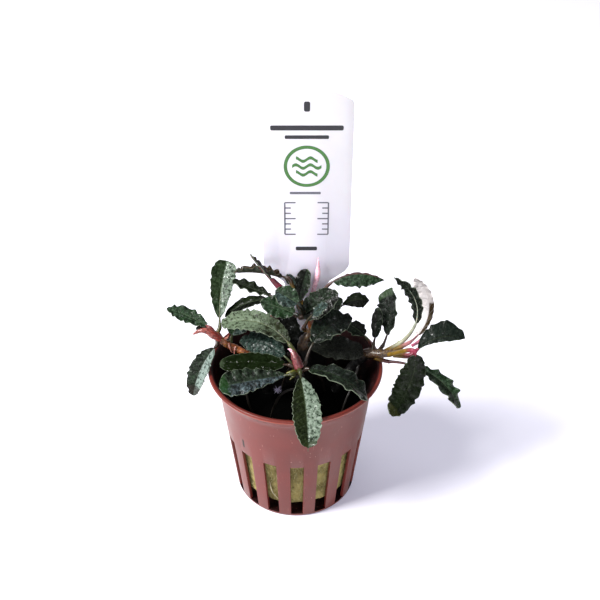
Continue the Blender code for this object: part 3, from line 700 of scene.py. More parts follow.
# Looks of each leaf. left and right are the tones of the halves on either hand of someone who
# walks from the stalk to the tip on the upper side. shape is where along the blade it is widest,
# how it widens from the stalk and how it closes at the tip: above 1 is hollow, below 1 is full.
# wave is the height and the number of the margin's ruffles.
leafLooks = {
    "leaf_left_up": dict(left="moss", right="silver", shape=(0.78, 0.7, 0.26), wave=(0.45, 5),
                         stalk="leafy", gloss=0.14, sunk=0.16, foot=(-24.6, 2.8, 57.2)),
    "leaf_left_out": dict(reach=0.97, left="green", right="green", shape=(0.55, 0.6, 0.6), wave=(0.55, 5),
                          stalk="red", foot=(-25.0, 2.6, 57.9)),
    "leaf_left_down": dict(left="frost", right="deep", shape=(0.5, 0.6, 0.45), wave=(0.35, 6),
                           stalk="brown", tip=(colour(26, 20, 15), 0.8), rib=colour(60, 66, 58),
                           foot=(-24.3, 2.2, 56.8)),
    "leaf_left_under": dict(left="brown", right="brown", shape=(0.5, 0.6, 0.6), wave=(0.2, 2), stalk="red",
                            foot=(-25.0, 2.8, 56.8)),
    "leaf_left_small": dict(left="green", right="slate", shape=(0.5, 0.6, 0.6), wave=(0.35, 3),
                            stalk="olive", foot=(-20.4, 2.2, 53.6)),
    "leaf_centre_blue": dict(left="teal", right="teal", shape=(0.55, 0.6, 0.6), wave=(0.5, 6),
                             stalk="olive", gloss=0.12, rib=colour(40, 52, 46), foot=(0.9, -11.8, 54.3)),
    "leaf_front_down": dict(left="silver", right="olive", shape=(0.5, 0.7, 0.36), wave=(0.3, 8),
                            stalk="olive", reach=0.94, gloss=0.14, tip=(colour(34, 42, 20), 0.88),
                            foot=(1.2, -12.8, 56.0)),
    # Its pale tip is a painted highlight.
    "leaf_front_right": dict(left="dusk", right="deep", shape=(0.62, 0.55, 0.45), wave=(0.45, 4),
                             stalk="brown", gloss=0.14, tip=(colour(120, 128, 108), 0.95),
                             rib=colour(34, 44, 28), foot=(1.7, -12.6, 55.4)),
    "leaf_front_left": dict(left="smooth", right="smooth", shape=(0.55, 0.5, 0.42), wave=(0.15, 4),
                            stalk="brown", tip=(colour(50, 60, 44), 0.93), wet=0.15, gloss=0.0, relief=0.4,
                            rib=colour(16, 22, 9), foot=(0.8, -12.3, 55.8)),
    "leaf_front_left_low": dict(left="ink", right="deep", shape=(0.74, 0.9, 0.4), wave=(0.6, 6),
                                stalk="olive", tip=(colour(18, 48, 13), 0.84), gloss=0.12,
                                rib=colour(34, 44, 30), foot=(0.9, -12.8, 54.9)),
    "leaf_front_pale": dict(left="pale", right="pale", shape=(0.66, 0.5, 0.4), wave=(0.4, 7),
                            stalk="leafy", bare=0.42, gloss=0.12, sunk=0.2, rib=colour(84, 92, 66),
                            foot=(0.2, -10.6, 59.8)),
    "leaf_front_back_right": dict(left="dusk", right="dusk", shape=(0.5, 0.6, 0.7), wave=(0.7, 4),
                                  stalk="brown", gloss=0.12, rib=colour(26, 32, 20),
                                  foot=(1.6, -12.0, 55.2)),
    "leaf_right_inner": dict(left="ash", right="ash", shape=(0.5, 0.42, 0.6), wave=(0.4, 4), stalk="brown",
                             gloss=0.14, rib=colour(26, 28, 20), margin=colour(40, 42, 34),
                             foot=(24.2, 0.2, 52.4)),
    "leaf_right_narrow": dict(left="black", right="dusk", shape=(0.55, 0.6, 0.5), wave=(0.3, 3),
                              stalk="brown", gloss=0.12, tip=(colour(54, 62, 50), 0.88),
                              rib=colour(26, 28, 20), foot=(24.2, 0.2, 52.8)),
    "leaf_right_up": dict(halves=(1.3, 1.0), left="dusk", right="dusk", shape=(0.66, 0.6, 0.24),
                          wave=(0.45, 4), stalk="brown", tip=(colour(56, 76, 50), 0.8),
                          rib=colour(34, 42, 30), foot=(25.8, 0.2, 52.6)),
    "leaf_right_curl": dict(left="dusk", right="dusk", shape=(0.55, 0.6, 0.8), wave=(0.38, 6),
                            stalk="pale", thick=1.5, sunk=0.16, rib=colour(84, 90, 78),
                            foot=(28.0, -0.6, 53.2)),
    # Its whitish half, rib, margin and tip are a painted highlight of the light on the leaf.
    "leaf_right_white": dict(halves=(1.5, 0.55), left="white", right="rust", shape=(0.5, 0.45, 0.6),
                             wave=(0.5, 8), stalk="blush", margin=colour(190, 182, 178),
                             rib=colour(190, 182, 182), gloss=0.12, tip=(colour(206, 200, 200), 0.46),
                             foot=(30.5, -0.8, 53.8)),
    "leaf_right_out": dict(halves=(1.4, 0.45), left="matte", right="matte", shape=(0.62, 1.0, 0.75),
                           wave=(0.4, 4), stalk="pink", thick=1.7, gloss=0.06, rib=colour(34, 40, 26),
                           foot=(30.5, -1.8, 53.0)),
    "leaf_right_down": dict(left="smooth", right="smooth", shape=(0.5, 0.6, 0.5), wave=(0.6, 8),
                            stalk="pink", under="olive", gloss=0.12, tip=(colour(40, 42, 18), 0.85),
                            rib=colour(34, 40, 26), foot=(29.0, -2.0, 53.2)),
    "leaf_right_down_out": dict(left="green", right="deep", shape=(0.5, 0.6, 0.5), wave=(1.0, 4),
                                stalk="wine", gloss=0.14, foot=(24.8, -0.4, 50.8)),
    "leaf_right_back": dict(left="deep", right="black", shape=(0.5, 0.6, 0.6), wave=(0.4, 3), stalk="red",
                            gloss=0.10, foot=(23.4, 1.4, 51.0)),
    "leaf_back_left_fore": dict(left="green", right="green", shape=(0.5, 0.5, 0.6), wave=(0.45, 4),
                                stalk="dim", foot=(2.8, 3.4, 63.6)),
    "leaf_back_left_dark": dict(left="black", right="smooth", shape=(0.5, 0.7, 0.6), wave=(0.22, 4),
                                stalk="brown", gloss=0.05, relief=0.6, foot=(-4.6, 7.1, 66.8)),
    "leaf_back_left_mid": dict(left="smooth", right="smooth", shape=(0.6, 0.8, 0.5), wave=(0.5, 4),
                               stalk="brown", gloss=0.12, foot=(-4.6, 7.1, 67.0)),
    "leaf_back_left_brown": dict(left="umber", right="umber", shape=(0.5, 0.5, 0.6), wave=(0.5, 6),
                                 stalk="brown", gloss=0.08, relief=0.5, rib=colour(50, 44, 30),
                                 margin=colour(70, 62, 48), foot=(-0.6, 3.6, 73.6)),
    "leaf_back_left_edge": dict(left="brown", right="brown", shape=(0.5, 0.8, 0.8), wave=(0.2, 4),
                                stalk="magenta", thick=2.4, gloss=0.10, foot=(-0.8, 2.8, 71.2)),
    "leaf_back_up": dict(left="black", right="deep", shape=(0.6, 0.7, 0.5), wave=(0.4, 4), stalk="dim",
                         gloss=0.12, rib=colour(30, 38, 28), foot=(2.4, 4.0, 64.0)),
    "leaf_back_right_up": dict(left="deep", right="black", shape=(0.5, 0.45, 0.5), wave=(0.45, 4),
                               stalk="brown", gloss=0.14, rib=colour(44, 54, 40), foot=(3.2, 3.0, 64.2)),
    "leaf_back_right_low": dict(left="slate", right="slate", shape=(0.5, 0.6, 0.6), wave=(0.4, 4),
                                stalk="brown", gloss=0.14, foot=(3.0, 1.0, 60.5)),
    "leaf_back_right_far": dict(halves=(0.3, 1.25), left="wine", right="green", shape=(0.5, 0.5, 0.8),
                                wave=(0.35, 5), stalk="wine", thick=1.6, sunk=0.0,
                                margin=colour(60, 66, 50), foot=(4.0, 4.2, 64.0)),
    "leaf_back_right_dark": dict(left="smooth", right="black", shape=(0.62, 1.1, 0.95), wave=(0.25, 3),
                                 stalk="brown", gloss=0.08, rib=colour(34, 40, 26),
                                 margin=colour(30, 32, 24), foot=(10.2, 6.0, 60.6)),
    "leaf_back_right_short": dict(left="deep", right="deep", shape=(0.5, 0.6, 0.5), wave=(0.3, 3),
                                  stalk="olive", gloss=0.12, foot=(9.0, 5.6, 60.0)),
    "leaf_back_silver": dict(left="slate", right="green", shape=(0.5, 0.6, 0.6), wave=(0.4, 3),
                             stalk="dim", foot=(2.9, 2.2, 64.5)),
    "leaf_back_knob": dict(left="deep", right="slate", shape=(0.6, 0.6, 0.5), wave=(0.3, 2), stalk="olive",
                           foot=(2.6, 5.6, 66.0)),
    "leaf_back_shade": dict(left="black", right="black", shape=(0.6, 0.6, 0.5), wave=(0.3, 3),
                            stalk="brown", gloss=0.06, rib=colour(10, 12, 8), margin=colour(16, 18, 14),
                            foot=(-0.6, 0.4, 50.6)),
}

bladeLook = {
    "cellsAlong": 2.6, "cellsAcross": 26, "thickness": 0.24, "footWidth": 0.8, "rounding": 0.5,
    "scallop": 0.05, "blister": 0.16, "blisterSize": 1.5, "pucker": 0.07, "puckerSize": 0.6,
    "groove": 0.16, "grooveWidth": 0.35, "veins": 9, "veinDepth": 0.05, "veinSlant": 0.9,
    "stalkRadius": 0.5, "ribRadius": 0.3, "ribTip": 0.08, "ribDrop": 0.14, "ribSunk": 0.34,
    "stalkSides": 10,
}

# For each tone: body, flecks on it and how much they show, between 0 and 1
skinTones = {
    "deep": (colour(8, 15, 6), colour(42, 56, 42), 0.25),
    "green": (colour(12, 30, 11), colour(54, 74, 54), 0.32),
    "moss": (colour(24, 38, 17), colour(56, 72, 50), 0.3),
    "olive": (colour(18, 25, 7), colour(50, 60, 36), 0.2),
    "smooth": (colour(11, 18, 6), colour(24, 34, 18), 0.1),
    # The silver and frost tones are silver flecks the leaf has, thickened into a painted sheen of the light on the
    # halves that face it.
    "silver": (colour(14, 30, 15), colour(106, 120, 106), 0.52),
    "pale": (colour(20, 24, 9), colour(94, 108, 88), 0.6),
    "dusk": (colour(6, 11, 6), colour(32, 42, 34), 0.25),
    "slate": (colour(11, 22, 18), colour(66, 82, 78), 0.36),
    "teal": (colour(9, 22, 17), colour(50, 66, 60), 0.36),
    "frost": (colour(20, 34, 26), colour(122, 136, 130), 0.56),
    "matte": (colour(13, 19, 15), colour(31, 38, 33), 0.35),
    "brown": (colour(24, 18, 11), colour(52, 43, 34), 0.25),
    "umber": (colour(30, 22, 13), colour(48, 38, 26), 0.3),
    "rust": (colour(44, 32, 14), colour(78, 66, 46), 0.25),
    "wine": (colour(58, 30, 28), colour(84, 56, 50), 0.2),
    "ash": (colour(16, 18, 15), colour(30, 32, 28), 0.3),
    "ink": (colour(6, 11, 12), colour(72, 86, 90), 0.26),
    "black": (colour(6, 8, 5), colour(16, 18, 14), 0.2),
    # The white tone is a painted highlight of the light on the half that faces it.
    "white": (colour(206, 200, 200), colour(224, 220, 220), 0.6),
}
underTones = {
    "green": (colour(30, 35, 23), colour(47, 52, 39)),
    "dark": (colour(20, 18, 13), colour(38, 31, 26)),
    "olive": (colour(21, 25, 12), colour(36, 40, 24)),
    "white": (colour(150, 142, 142), colour(170, 162, 162)),
}
stalkTones = {
    "red": (colour(98, 36, 34), colour(46, 52, 30)),
    "pink": (colour(126, 38, 60), colour(72, 60, 50)),
    "dim": (colour(16, 20, 11), colour(22, 28, 16), colour(14, 14, 8)),
    "magenta": (colour(112, 24, 50), colour(78, 30, 38)),
    "blush": (colour(166, 112, 116), colour(182, 172, 170)),
    "leafy": (colour(58, 62, 30), colour(84, 94, 70)),
    "wine": (colour(76, 36, 38), colour(66, 44, 40)),
    "brown": (colour(44, 30, 22), colour(42, 38, 26)),
    "olive": (colour(44, 48, 20), colour(52, 64, 38)),
    "pale": (colour(148, 148, 126), colour(134, 138, 124)),
}
# The margin colour is a pale rim: partly the leaf's own, partly a painted highlight along the edge.
skinLook = {"crown": colour(106, 82, 28), "rib": colour(60, 72, 52), "margin": colour(112, 122, 104),
            "ribWidth": 0.05, "marginWidth": 0.06, "relief": 0.2}


def makeLeafSkin():    # both halves, midrib, veins, margin, blisters and flecks of a blade
    group, given, out = newGroup(
        "leafSkin",
        [("Left Half", "colour"), ("Right Half", "colour"), ("Left Fleck", "colour"), ("Right Fleck", "colour"),
         ("Left Share", "value"), ("Right Share", "value"), ("Rib", "colour"), ("Margin", "colour"),
         ("Rib Width", "value"), ("Margin Width", "value"), ("Bare", "value"), ("Tip", "colour"),
         ("Tip Start", "value")],
        [("Colour", "colour"), ("Roughness", "value"), ("Height", "value"), ("Wet", "value")])
    along = addNode(group, "Attribute", attribute_name="along").outputs["Fac"]
    across = addNode(group, "Attribute", attribute_name="across").outputs["Fac"]
    outward = maths(group, "ABSOLUTE", across)
    place = ownPlace(group)
    side = ramp(group, across, -0.05, 0.05)
    body = blendColours(group, side, given["Right Half"], given["Left Half"])
    fleck = blendColours(group, side, given["Right Fleck"], given["Left Fleck"])
    share = maths(group, "ADD", maths(group, "MULTIPLY", side, given["Left Share"]),
                  maths(group, "MULTIPLY", maths(group, "SUBTRACT", 1.0, side), given["Right Share"]))
    body = useGroup(group, mottle, {"Colour": body, "Scale": 330.0, "Darkest": 0.6, "Lightest": 1.4})["Colour"]
    cells = addNode(group, "TexVoronoi", {"Vector": place, "Scale": 950.0}, feature="SMOOTH_F1").outputs[0]
    body = blendColours(group, ramp(group, cells, 0.55, 0.2, 0.0, 0.3), body, fleck)
    spots = useGroup(group, flecks, {"Scale": 1700.0, "Size": 0.3, "Patch Scale": 500.0})["Mask"]
    body = blendColours(group, maths(group, "MULTIPLY", spots, 0.6), body, fleck)
    # Where a tone's share is high its flecks close into a cover: on the silver and frost halves, partly the leaf's
    # flecks and partly a painted sheen.
    bare = maths(group, "MULTIPLY_ADD", share, -0.36, 0.67)
    cover = ramp(group, noiseAt(group, place, 1150.0, 5.0, 0.68), maths(group, "SUBTRACT", bare, 0.05),
                 maths(group, "ADD", bare, 0.05))
    bare = given["Bare"]
    clear = ramp(group, along, maths(group, "SUBTRACT", bare, 0.12), maths(group, "ADD", bare, 0.12), 0.0, 0.85)
    body = blendColours(group, maths(group, "MULTIPLY", cover, clear), body, fleck)
    wander = maths(group, "MULTIPLY_ADD", noiseAt(group, place, 400.0), 0.16, maths(group, "SUBTRACT", along, 0.08))
    tip = ramp(group, wander, given["Tip Start"], maths(group, "ADD", given["Tip Start"], 0.06), 0.0, 0.8)
    body = blendColours(group, tip, body, given["Tip"])
    slant = maths(group, "SUBTRACT", along, maths(group, "MULTIPLY", outward, 0.1))
    vein = maths(group, "PINGPONG", maths(group, "MULTIPLY", slant, 18.0), 1.0)
    vein = ramp(group, vein, 0.12, 0.0, 0.0, 0.35)
    body = blendColours(group, vein, body, given["Rib"])
    rib = ramp(group, outward, given["Rib Width"], maths(group, "MULTIPLY", given["Rib Width"], 0.4))
    rib = maths(group, "MULTIPLY", rib, ramp(group, along, 1.0, 0.3, 0.1, 0.9))
    body = blendColours(group, rib, body, given["Rib"])
    # The margin colour along the edge: partly the leaf's pale rim, partly a painted highlight.
    ragged = maths(group, "MULTIPLY", noiseAt(group, place, 1300.0), given["Margin Width"])
    edge = maths(group, "ADD", outward, ragged)
    edge = ramp(group, edge, 1.0, maths(group, "ADD", 1.0, maths(group, "MULTIPLY", given["Margin Width"], 0.5)))
    body = blendColours(group, maths(group, "MULTIPLY", edge, 0.7), body, given["Margin"])
    linkTo(group, body, out["Colour"])
    fine = noiseAt(group, place, 2600.0, 3.0)
    linkTo(group, ramp(group, fine, 0.35, 0.65, 0.2, 0.42), out["Roughness"])
    linkTo(group, ramp(group, noiseAt(group, place, 1500.0, 4.0, 0.6), 0.58, 0.64), out["Wet"])
    height = maths(group, "SUBTRACT", maths(group, "MULTIPLY", fine, 0.5), cells)
    linkTo(group, maths(group, "SUBTRACT", height, vein), out["Height"])
    return group


leafSkin = makeLeafSkin()


def makeUpperMaterial(name, look):
    left, right = skinTones[look["left"]], skinTones[look["right"]]
    material, tree, shader = newMaterial(name, Specular_IOR_Level=look.get("gloss", 0.18), Coat_Roughness=0.12)
    skin = useGroup(tree, leafSkin, {
        "Left Half": left[0], "Right Half": right[0], "Left Fleck": left[1], "Right Fleck": right[1],
        "Left Share": left[2], "Right Share": right[2], "Rib": look.get("rib", skinLook["rib"]),
        "Margin": look.get("margin", skinLook["margin"]), "Rib Width": skinLook["ribWidth"],
        "Margin Width": skinLook["marginWidth"], "Bare": look.get("bare", -0.5),
        "Tip": look.get("tip", (skinLook["rib"], 2.0))[0], "Tip Start": look.get("tip", (skinLook["rib"], 2.0))[1]})
    linkTo(tree, skin["Colour"], shader["Base Color"])
    linkTo(tree, skin["Roughness"], shader["Roughness"])
    linkTo(tree, maths(tree, "MULTIPLY", skin["Wet"], look.get("wet", 0.5)), shader["Coat Weight"])
    linkTo(tree, bumpFrom(tree, skin["Height"], skinLook["relief"] * look.get("relief", 1.0)), shader["Normal"])
    return material


def makeUnderMaterial(name):
    body, light = underTones[name]
    material, tree, shader = newMaterial(name + "Underside", Specular_IOR_Level=0.3, Coat_Weight=0.2, Coat_Roughness=0.2)
    tint = useGroup(tree, mottle, {"Colour": body, "Scale": 400.0, "Darkest": 0.7, "Lightest": 1.25})
    along = addNode(tree, "Attribute", attribute_name="along").outputs["Fac"]
    across = maths(tree, "ABSOLUTE", addNode(tree, "Attribute", attribute_name="across").outputs["Fac"])
    slant = maths(tree, "SUBTRACT", along, maths(tree, "MULTIPLY", across, 0.1))
    vein = ramp(tree, maths(tree, "PINGPONG", maths(tree, "MULTIPLY", slant, 18.0), 1.0), 0.16, 0.0, 0.0, 0.5)
    linkTo(tree, blendColours(tree, vein, tint["Colour"], light), shader["Base Color"])
    linkTo(tree, ramp(tree, tint["Pattern"], 0.3, 0.7, 0.4, 0.55), shader["Roughness"])
    linkTo(tree, bumpFrom(tree, maths(tree, "ADD", vein, tint["Pattern"]), 0.15), shader["Normal"])
    return material


def makeStalkMaterial(name):
    start, end, *crown = stalkTones[name]
    material, tree, shader = newMaterial(name + "Stalk", Coat_Weight=0.1, Coat_Roughness=0.2, Specular_IOR_Level=0.3,
                                         Subsurface_Weight=0.1, Subsurface_Scale=0.001)
    along = addNode(tree, "Attribute", attribute_name="along").outputs["Fac"]
    tone = blendColours(tree, ramp(tree, along, 0.1, 0.32), start, end)
    tone = blendColours(tree, ramp(tree, along, -0.1, -0.4), tone,
                        crown[0] if crown else skinLook["crown"])
    tint = useGroup(tree, mottle, {"Colour": tone, "Scale": 700.0, "Darkest": 0.75, "Lightest": 1.25})
    linkTo(tree, tint["Colour"], shader["Base Color"])
    linkTo(tree, ramp(tree, tint["Pattern"], 0.3, 0.7, 0.3, 0.45), shader["Roughness"])
    linkTo(tree, bumpFrom(tree, tint["Pattern"], 0.1), shader["Normal"])
    return material


def direction(heading, rise):
    heading, rise = math.radians(heading), math.radians(rise)
    return Vector((math.cos(heading) * math.cos(rise), math.sin(heading) * math.cos(rise), math.sin(rise)))


def makePath(leaf):    # one Bezier span from the crown to the tip
    start, end = direction(*leaf["leaves"]), direction(*leaf["arrives"])
    third = leaf["length"] * mm / 3.0
    near = start * third
    far = near + (start + end).normalized() * third
    tip = far + end * third
    deselectAll()
    bpy.ops.curve.primitive_bezier_curve_add(location=Vector(leaf["base"]) * mm)
    path = bpy.context.object
    path.data.twist_mode = "MINIMUM"
    path.data.resolution_u = 24
    spline = path.data.splines[0]
    shape = ((Vector(), -near, near), (tip, far, tip + end * third))
    for point, (place, before, after) in zip(spline.bezier_points, shape):
        point.handle_left_type = "FREE"
        point.handle_right_type = "FREE"
        point.co = place
        point.handle_left = before
        point.handle_right = after
        point.tilt = math.radians(leaf["roll"])
    return path, spline.calc_length() / mm


def halfWidth(share, width, shape):
    widest, taper, close = shape
    if share < widest:
        swell = math.sin(0.5 * math.pi * share / widest) ** taper
    else:
        swell = max(0.0, math.cos(0.5 * math.pi * (share - widest) / (1.0 - widest))) ** close
    foot = 0.5 * bladeLook["footWidth"] * max(0.0, 1.0 - share / widest)
    return foot + (0.5 * width - foot) * swell


def shapeBlade(item, leaf, look, length, seed):    # moves the flat grid's points to the leaf's own shape
    blade = (length - leaf["stalk"]) * look.get("reach", 1.0)
    height, count = look["wave"]
    fold = math.radians(leaf["fold"])
    mesh = item.data
    along = mesh.attributes.new("along", "FLOAT", "POINT")
    across = mesh.attributes.new("across", "FLOAT", "POINT")
    for index, vert in enumerate(mesh.vertices):
        share = min(1.0, max(0.0, 0.5 + vert.co.x))
        share = share + 0.06 * math.sin(2.0 * math.pi * share) * (share - 1.0) * share
        out = min(1.0, max(-1.0, 2.0 * vert.co.y))
        along.data[index].value = share
        across.data[index].value = out
        hand = 1.0 if out >= 0.0 else -1.0
        reach = abs(out)
        beat = noise.noise(Vector((share * count * 1.3, hand * 3.0, seed * 1.7)))
        phase = 2.0 * math.pi * (count * share + 0.31 * hand + 0.5 * beat + 0.37 * seed)
        half = halfWidth(share, leaf["width"], look["shape"])
        half = half * look.get("halves", (1.0, 1.0))[0 if hand > 0.0 else 1]
        half = half * (1.0 + bladeLook["scallop"] * math.sin(phase * 1.5) * reach)
        x = leaf["stalk"] + share * blade
        y = out * half
        lift = math.sqrt((reach * half) ** 2 + bladeLook["rounding"] ** 2) - bladeLook["rounding"]
        swing = height * reach ** 2.2 * math.sin(phase) * min(1.0, 4.0 * half / leaf["width"])
        inner = (1.0 - reach ** 6) * (1.0 - 0.9 * math.exp(-(y / 0.6) ** 2))
        spot = Vector((x, y, seed * 5.0))
        blister = bladeLook["blister"] * noise.noise(spot / bladeLook["blisterSize"])
        blister += bladeLook["pucker"] * noise.noise(spot / bladeLook["puckerSize"])
        slant = share - bladeLook["veinSlant"] * 0.1 * reach
        vein = math.cos(2.0 * math.pi * bladeLook["veins"] * slant) ** 12
        groove = bladeLook["groove"] * math.exp(-(y / bladeLook["grooveWidth"]) ** 2) * min(1.0, 8.0 * (1.0 - share))
        z = lift * math.sin(fold) + swing + inner * (blister - bladeLook["veinDepth"] * vein) - groove
        vert.co = Vector((x, y * math.cos(fold), z)) * mm


def makeBlade(leaf, look, length, seed):
    cells = max(18, round(length * bladeLook["cellsAlong"]))
    deselectAll()
    bpy.ops.mesh.primitive_grid_add(x_subdivisions=cells, y_subdivisions=bladeLook["cellsAcross"], size=1.0)
    item = bpy.context.object
    shapeBlade(item, leaf, look, length, seed)
    return item


def makeStalk(leaf, look, length):    # the stalk, which runs on under the blade as its midrib
    deselectAll()
    bpy.ops.mesh.primitive_cylinder_add(vertices=bladeLook["stalkSides"], radius=1.0, depth=1.0,
                                        location=(0.5, 0, 0), rotation=(0, math.radians(90.0), 0))
    item = bpy.context.object
    fixPlace(item)
    startEdit(item)
    choose(item, "EDGE", lambda edge: abs(edge.verts[0].co.x - edge.verts[1].co.x) > 0.5)
    bpy.ops.mesh.subdivide(number_cuts=max(16, round(length * 1.5)))
    endEdit()
    along = item.data.attributes.new("along", "FLOAT", "POINT")
    item.data.attributes.new("across", "FLOAT", "POINT")
    foot = leaf["stalk"] / length
    for index, vert in enumerate(item.data.vertices):
        share = vert.co.x
        along.data[index].value = share
        past = min(1.0, max(0.0, (share - foot) / max(0.01, 0.97 - foot)))
        thick = bladeLook["ribRadius"] + (bladeLook["ribTip"] - bladeLook["ribRadius"]) * past
        if share < foot:
            thick = bladeLook["stalkRadius"] + (bladeLook["ribRadius"] - bladeLook["stalkRadius"]) * share / foot
            thick = thick * (1.0 + 0.35 * max(0.0, 1.0 - share * length / 1.2))
            thick = thick * look.get("thick", 1.0)
        drop = bladeLook["ribDrop"] + (look.get("sunk", bladeLook["ribSunk"]) if share > foot else 0.0)
        vert.co = Vector((share * length * 0.985, vert.co.y * thick, vert.co.z * thick - drop)) * mm
    return item


def makeFoot(leaf, look, material):    # ties the stalk to the stem it grows from
    base = Vector(leaf["base"])
    radius = bladeLook["stalkRadius"] * look.get("thick", 1.0) ** 0.5
    way = direction(*leaf["leaves"])
    foot = strandMesh("foot", [((look["foot"], 1.5 * radius), (base, 1.3 * radius), (base + way, 0.8 * radius))], 10, 8)
    foot.data.materials.clear()
    foot.data.materials.append(material)
    along = foot.data.attributes.new("along", "FLOAT", "POINT")
    for index, vert in enumerate(foot.data.vertices):
        along.data[index].value = -0.1 * (vert.co - base * mm).length / mm
    return foot


def buildLeaf(node, seed, underMaterials, stalkMaterials):
    leaf = dict(zip(leafFields, leafPaths[node]))
    look = leafLooks[node]
    path, length = makePath(leaf)
    blade = makeBlade(leaf, look, length, seed)
    blade.data.materials.append(makeUpperMaterial(pieceName(node), look))
    darkUnder = look["left"] in ("brown", "deep", "slate", "teal", "black")
    under = "white" if look["left"] == "white" else ("dark" if darkUnder else "green")
    blade.data.materials.append(underMaterials[look.get("under", under)])
    applyModifier(blade, "SOLIDIFY", thickness=bladeLook["thickness"] * mm, offset=-1.0, material_offset=1)
    stalk = makeStalk(leaf, look, length)
    stalk.data.materials.append(stalkMaterials[look["stalk"]])
    item = joinAll([blade, stalk])
    item.location = path.location
    applyModifier(item, "CURVE", object=path, deform_axis="POS_X")
    bpy.data.objects.remove(path)
    if "foot" in look:
        item = joinAll([item, makeFoot(leaf, look, stalkMaterials[look["stalk"]])])
    smoothSurface(item, 65.0)
    slotName = {"white": "leaf_white", "silver": "leaf_silver", "pale": "leaf_silver", "brown": "leaf_brown"}
    finishPiece(item, pieceName(node), slotName.get(look["left"], "leaf_green"), node)


def buildLeaves():
    underMaterials = {name: makeUnderMaterial(name) for name in underTones}
    stalkMaterials = {name: makeStalkMaterial(name) for name in stalkTones}
    for seed, node in enumerate(leafPaths):
        buildLeaf(node, seed, underMaterials, stalkMaterials)
    print("leaves:", len(leafPaths))


# Label and its print

labelLook = {
    "x": 3.4, "y": 10.0, "thickness": 0.5, "width": 26.1, "crown": 135.8, "corner": 132.0, "wideBottom": 78.0,
    "stakeTop": 72.5, "stakeWidth": 13.2, "stakeBottom": 16.0, "point": 4.0, "archSteps": 28, "edgeRound": 0.12,
    # The grey colour, a little lighter and lilac than the white, is painted light against the shade low on the label.
    "white": colour(200, 198, 205), "grey": colour(204, 201, 215), "soil": colour(10, 9, 9), "soilTop": 54.0,
    "ink": colour(24, 23, 32), "green": colour(55, 102, 46), "softInk": colour(88, 88, 98),
}


def labelOutline():
    half, stake = 0.5 * labelLook["width"], 0.5 * labelLook["stakeWidth"]
    crown, wide, top = labelLook["crown"], labelLook["wideBottom"], labelLook["stakeTop"]
    bottom, point = labelLook["stakeBottom"], labelLook["point"]
    rise = crown - labelLook["corner"]
    radius = (half * half + rise * rise) / (2.0 * rise)
    spread = math.asin((half - 0.6) / radius)
    outline = []
    for step in range(labelLook["archSteps"] + 1):
        angle = spread * (1.0 - 2.0 * step / labelLook["archSteps"])
        outline.append((radius * math.sin(angle), crown - radius + radius * math.cos(angle)))
    side = [(half - 0.2, labelLook["corner"] - 0.2), (half, labelLook["corner"] - 0.9), (half, wide + 1.0),
            (half - 0.25, wide), (half - 1.2, wide - 1.6), (stake + 1.6, top + 1.1), (stake + 0.5, top + 0.2),
            (stake, top - 1.0), (stake, bottom + point), (1.5, bottom)]
    return outline + [(-x, z) for x, z in side] + list(reversed(side))


def makeLabelPlastic():
    material, tree, shader = newMaterial("labelPlastic", Coat_Weight=0.15, Coat_Roughness=0.3,
                                         Subsurface_Weight=0.1, Subsurface_Scale=0.001)
    place = ownPlace(tree)
    height = addNode(tree, "SeparateXYZ", {0: place}).outputs[2]
    # Lower down the label is painted a little lighter and lilac: painted light that evens out the shade there, tinted
    # like that shade.
    tone = blendColours(tree, ramp(tree, height, 112.0 * mm, 78.0 * mm), labelLook["white"], labelLook["grey"])
    tint = useGroup(tree, mottle, {"Colour": tone, "Scale": 70.0, "Darkest": 0.97, "Lightest": 1.02})
    # Low on the stake the label is painted near black: painted shade among the leaves and in the pot.
    soil = maths(tree, "ADD", height, maths(tree, "MULTIPLY", noiseAt(tree, place, 300.0), 3.0 * mm))
    soil = ramp(tree, soil, (labelLook["soilTop"] + 2.2) * mm, (labelLook["soilTop"] + 0.8) * mm)
    linkTo(tree, blendColours(tree, soil, tint["Colour"], labelLook["soil"]), shader["Base Color"])
    linkTo(tree, ramp(tree, noiseAt(tree, place, 220.0), 0.3, 0.7, 0.34, 0.48), shader["Roughness"])
    linkTo(tree, bumpFrom(tree, noiseAt(tree, place, 120.0, 2.0), 0.06, 0.5), shader["Normal"])
    return material


def buildLabel():
    thick = labelLook["thickness"]
    outline = labelOutline()
    mesh = bpy.data.meshes.new("plantLabel")
    points = [((labelLook["x"] + x) * mm, (labelLook["y"] - 0.5 * thick) * mm, z * mm) for x, z in outline]
    mesh.from_pydata(points, [(here, (here + 1) % len(points)) for here in range(len(points))], [])
    item = bpy.data.objects.new("plantLabel", mesh)
    bpy.context.scene.collection.objects.link(item)
    startEdit(item)
    bpy.ops.mesh.select_all(action="SELECT")
    bpy.ops.mesh.edge_face_add()
    bpy.ops.mesh.extrude_region_move(TRANSFORM_OT_translate={"value": (0, thick * mm, 0)})
    bpy.ops.mesh.select_all(action="SELECT")
    bpy.ops.mesh.normals_make_consistent(inside=False)
    endEdit()
    roundEdges(item, labelLook["edgeRound"], 2, 60.0)
    smoothSurface(item, 30.0)
    item.data.materials.append(makeLabelPlastic())
    finishPiece(item, "plantLabel", "label_plastic", "plant_label")
    print("plant label:", len(item.data.polygons), "faces")


# The print: plain bars, a ring of waves and a scale. Each row is centre x, height, width, tall.
printLook = {
    "proud": 0.02, "thickness": 0.03,
    "bars": ((0.0, 130.6, 1.7, 3.0, "ink"), (0.0, 124.2, 20.5, 1.5, "ink"), (0.0, 121.4, 12.4, 1.1, "ink"),
             (-0.4, 103.6, 9.0, 0.8, "softInk"), (0.0, 84.6, 6.4, 1.3, "ink")),
    "ring": (0.0, 112.2, 6.6, 1.0), "waves": (2.2, 0.0, -2.2), "waveLength": 8.4, "waveHeight": 0.55,
    "scale": (-6.4, 6.4, 89.6, 100.4), "line": 0.42, "ticks": 7,
}


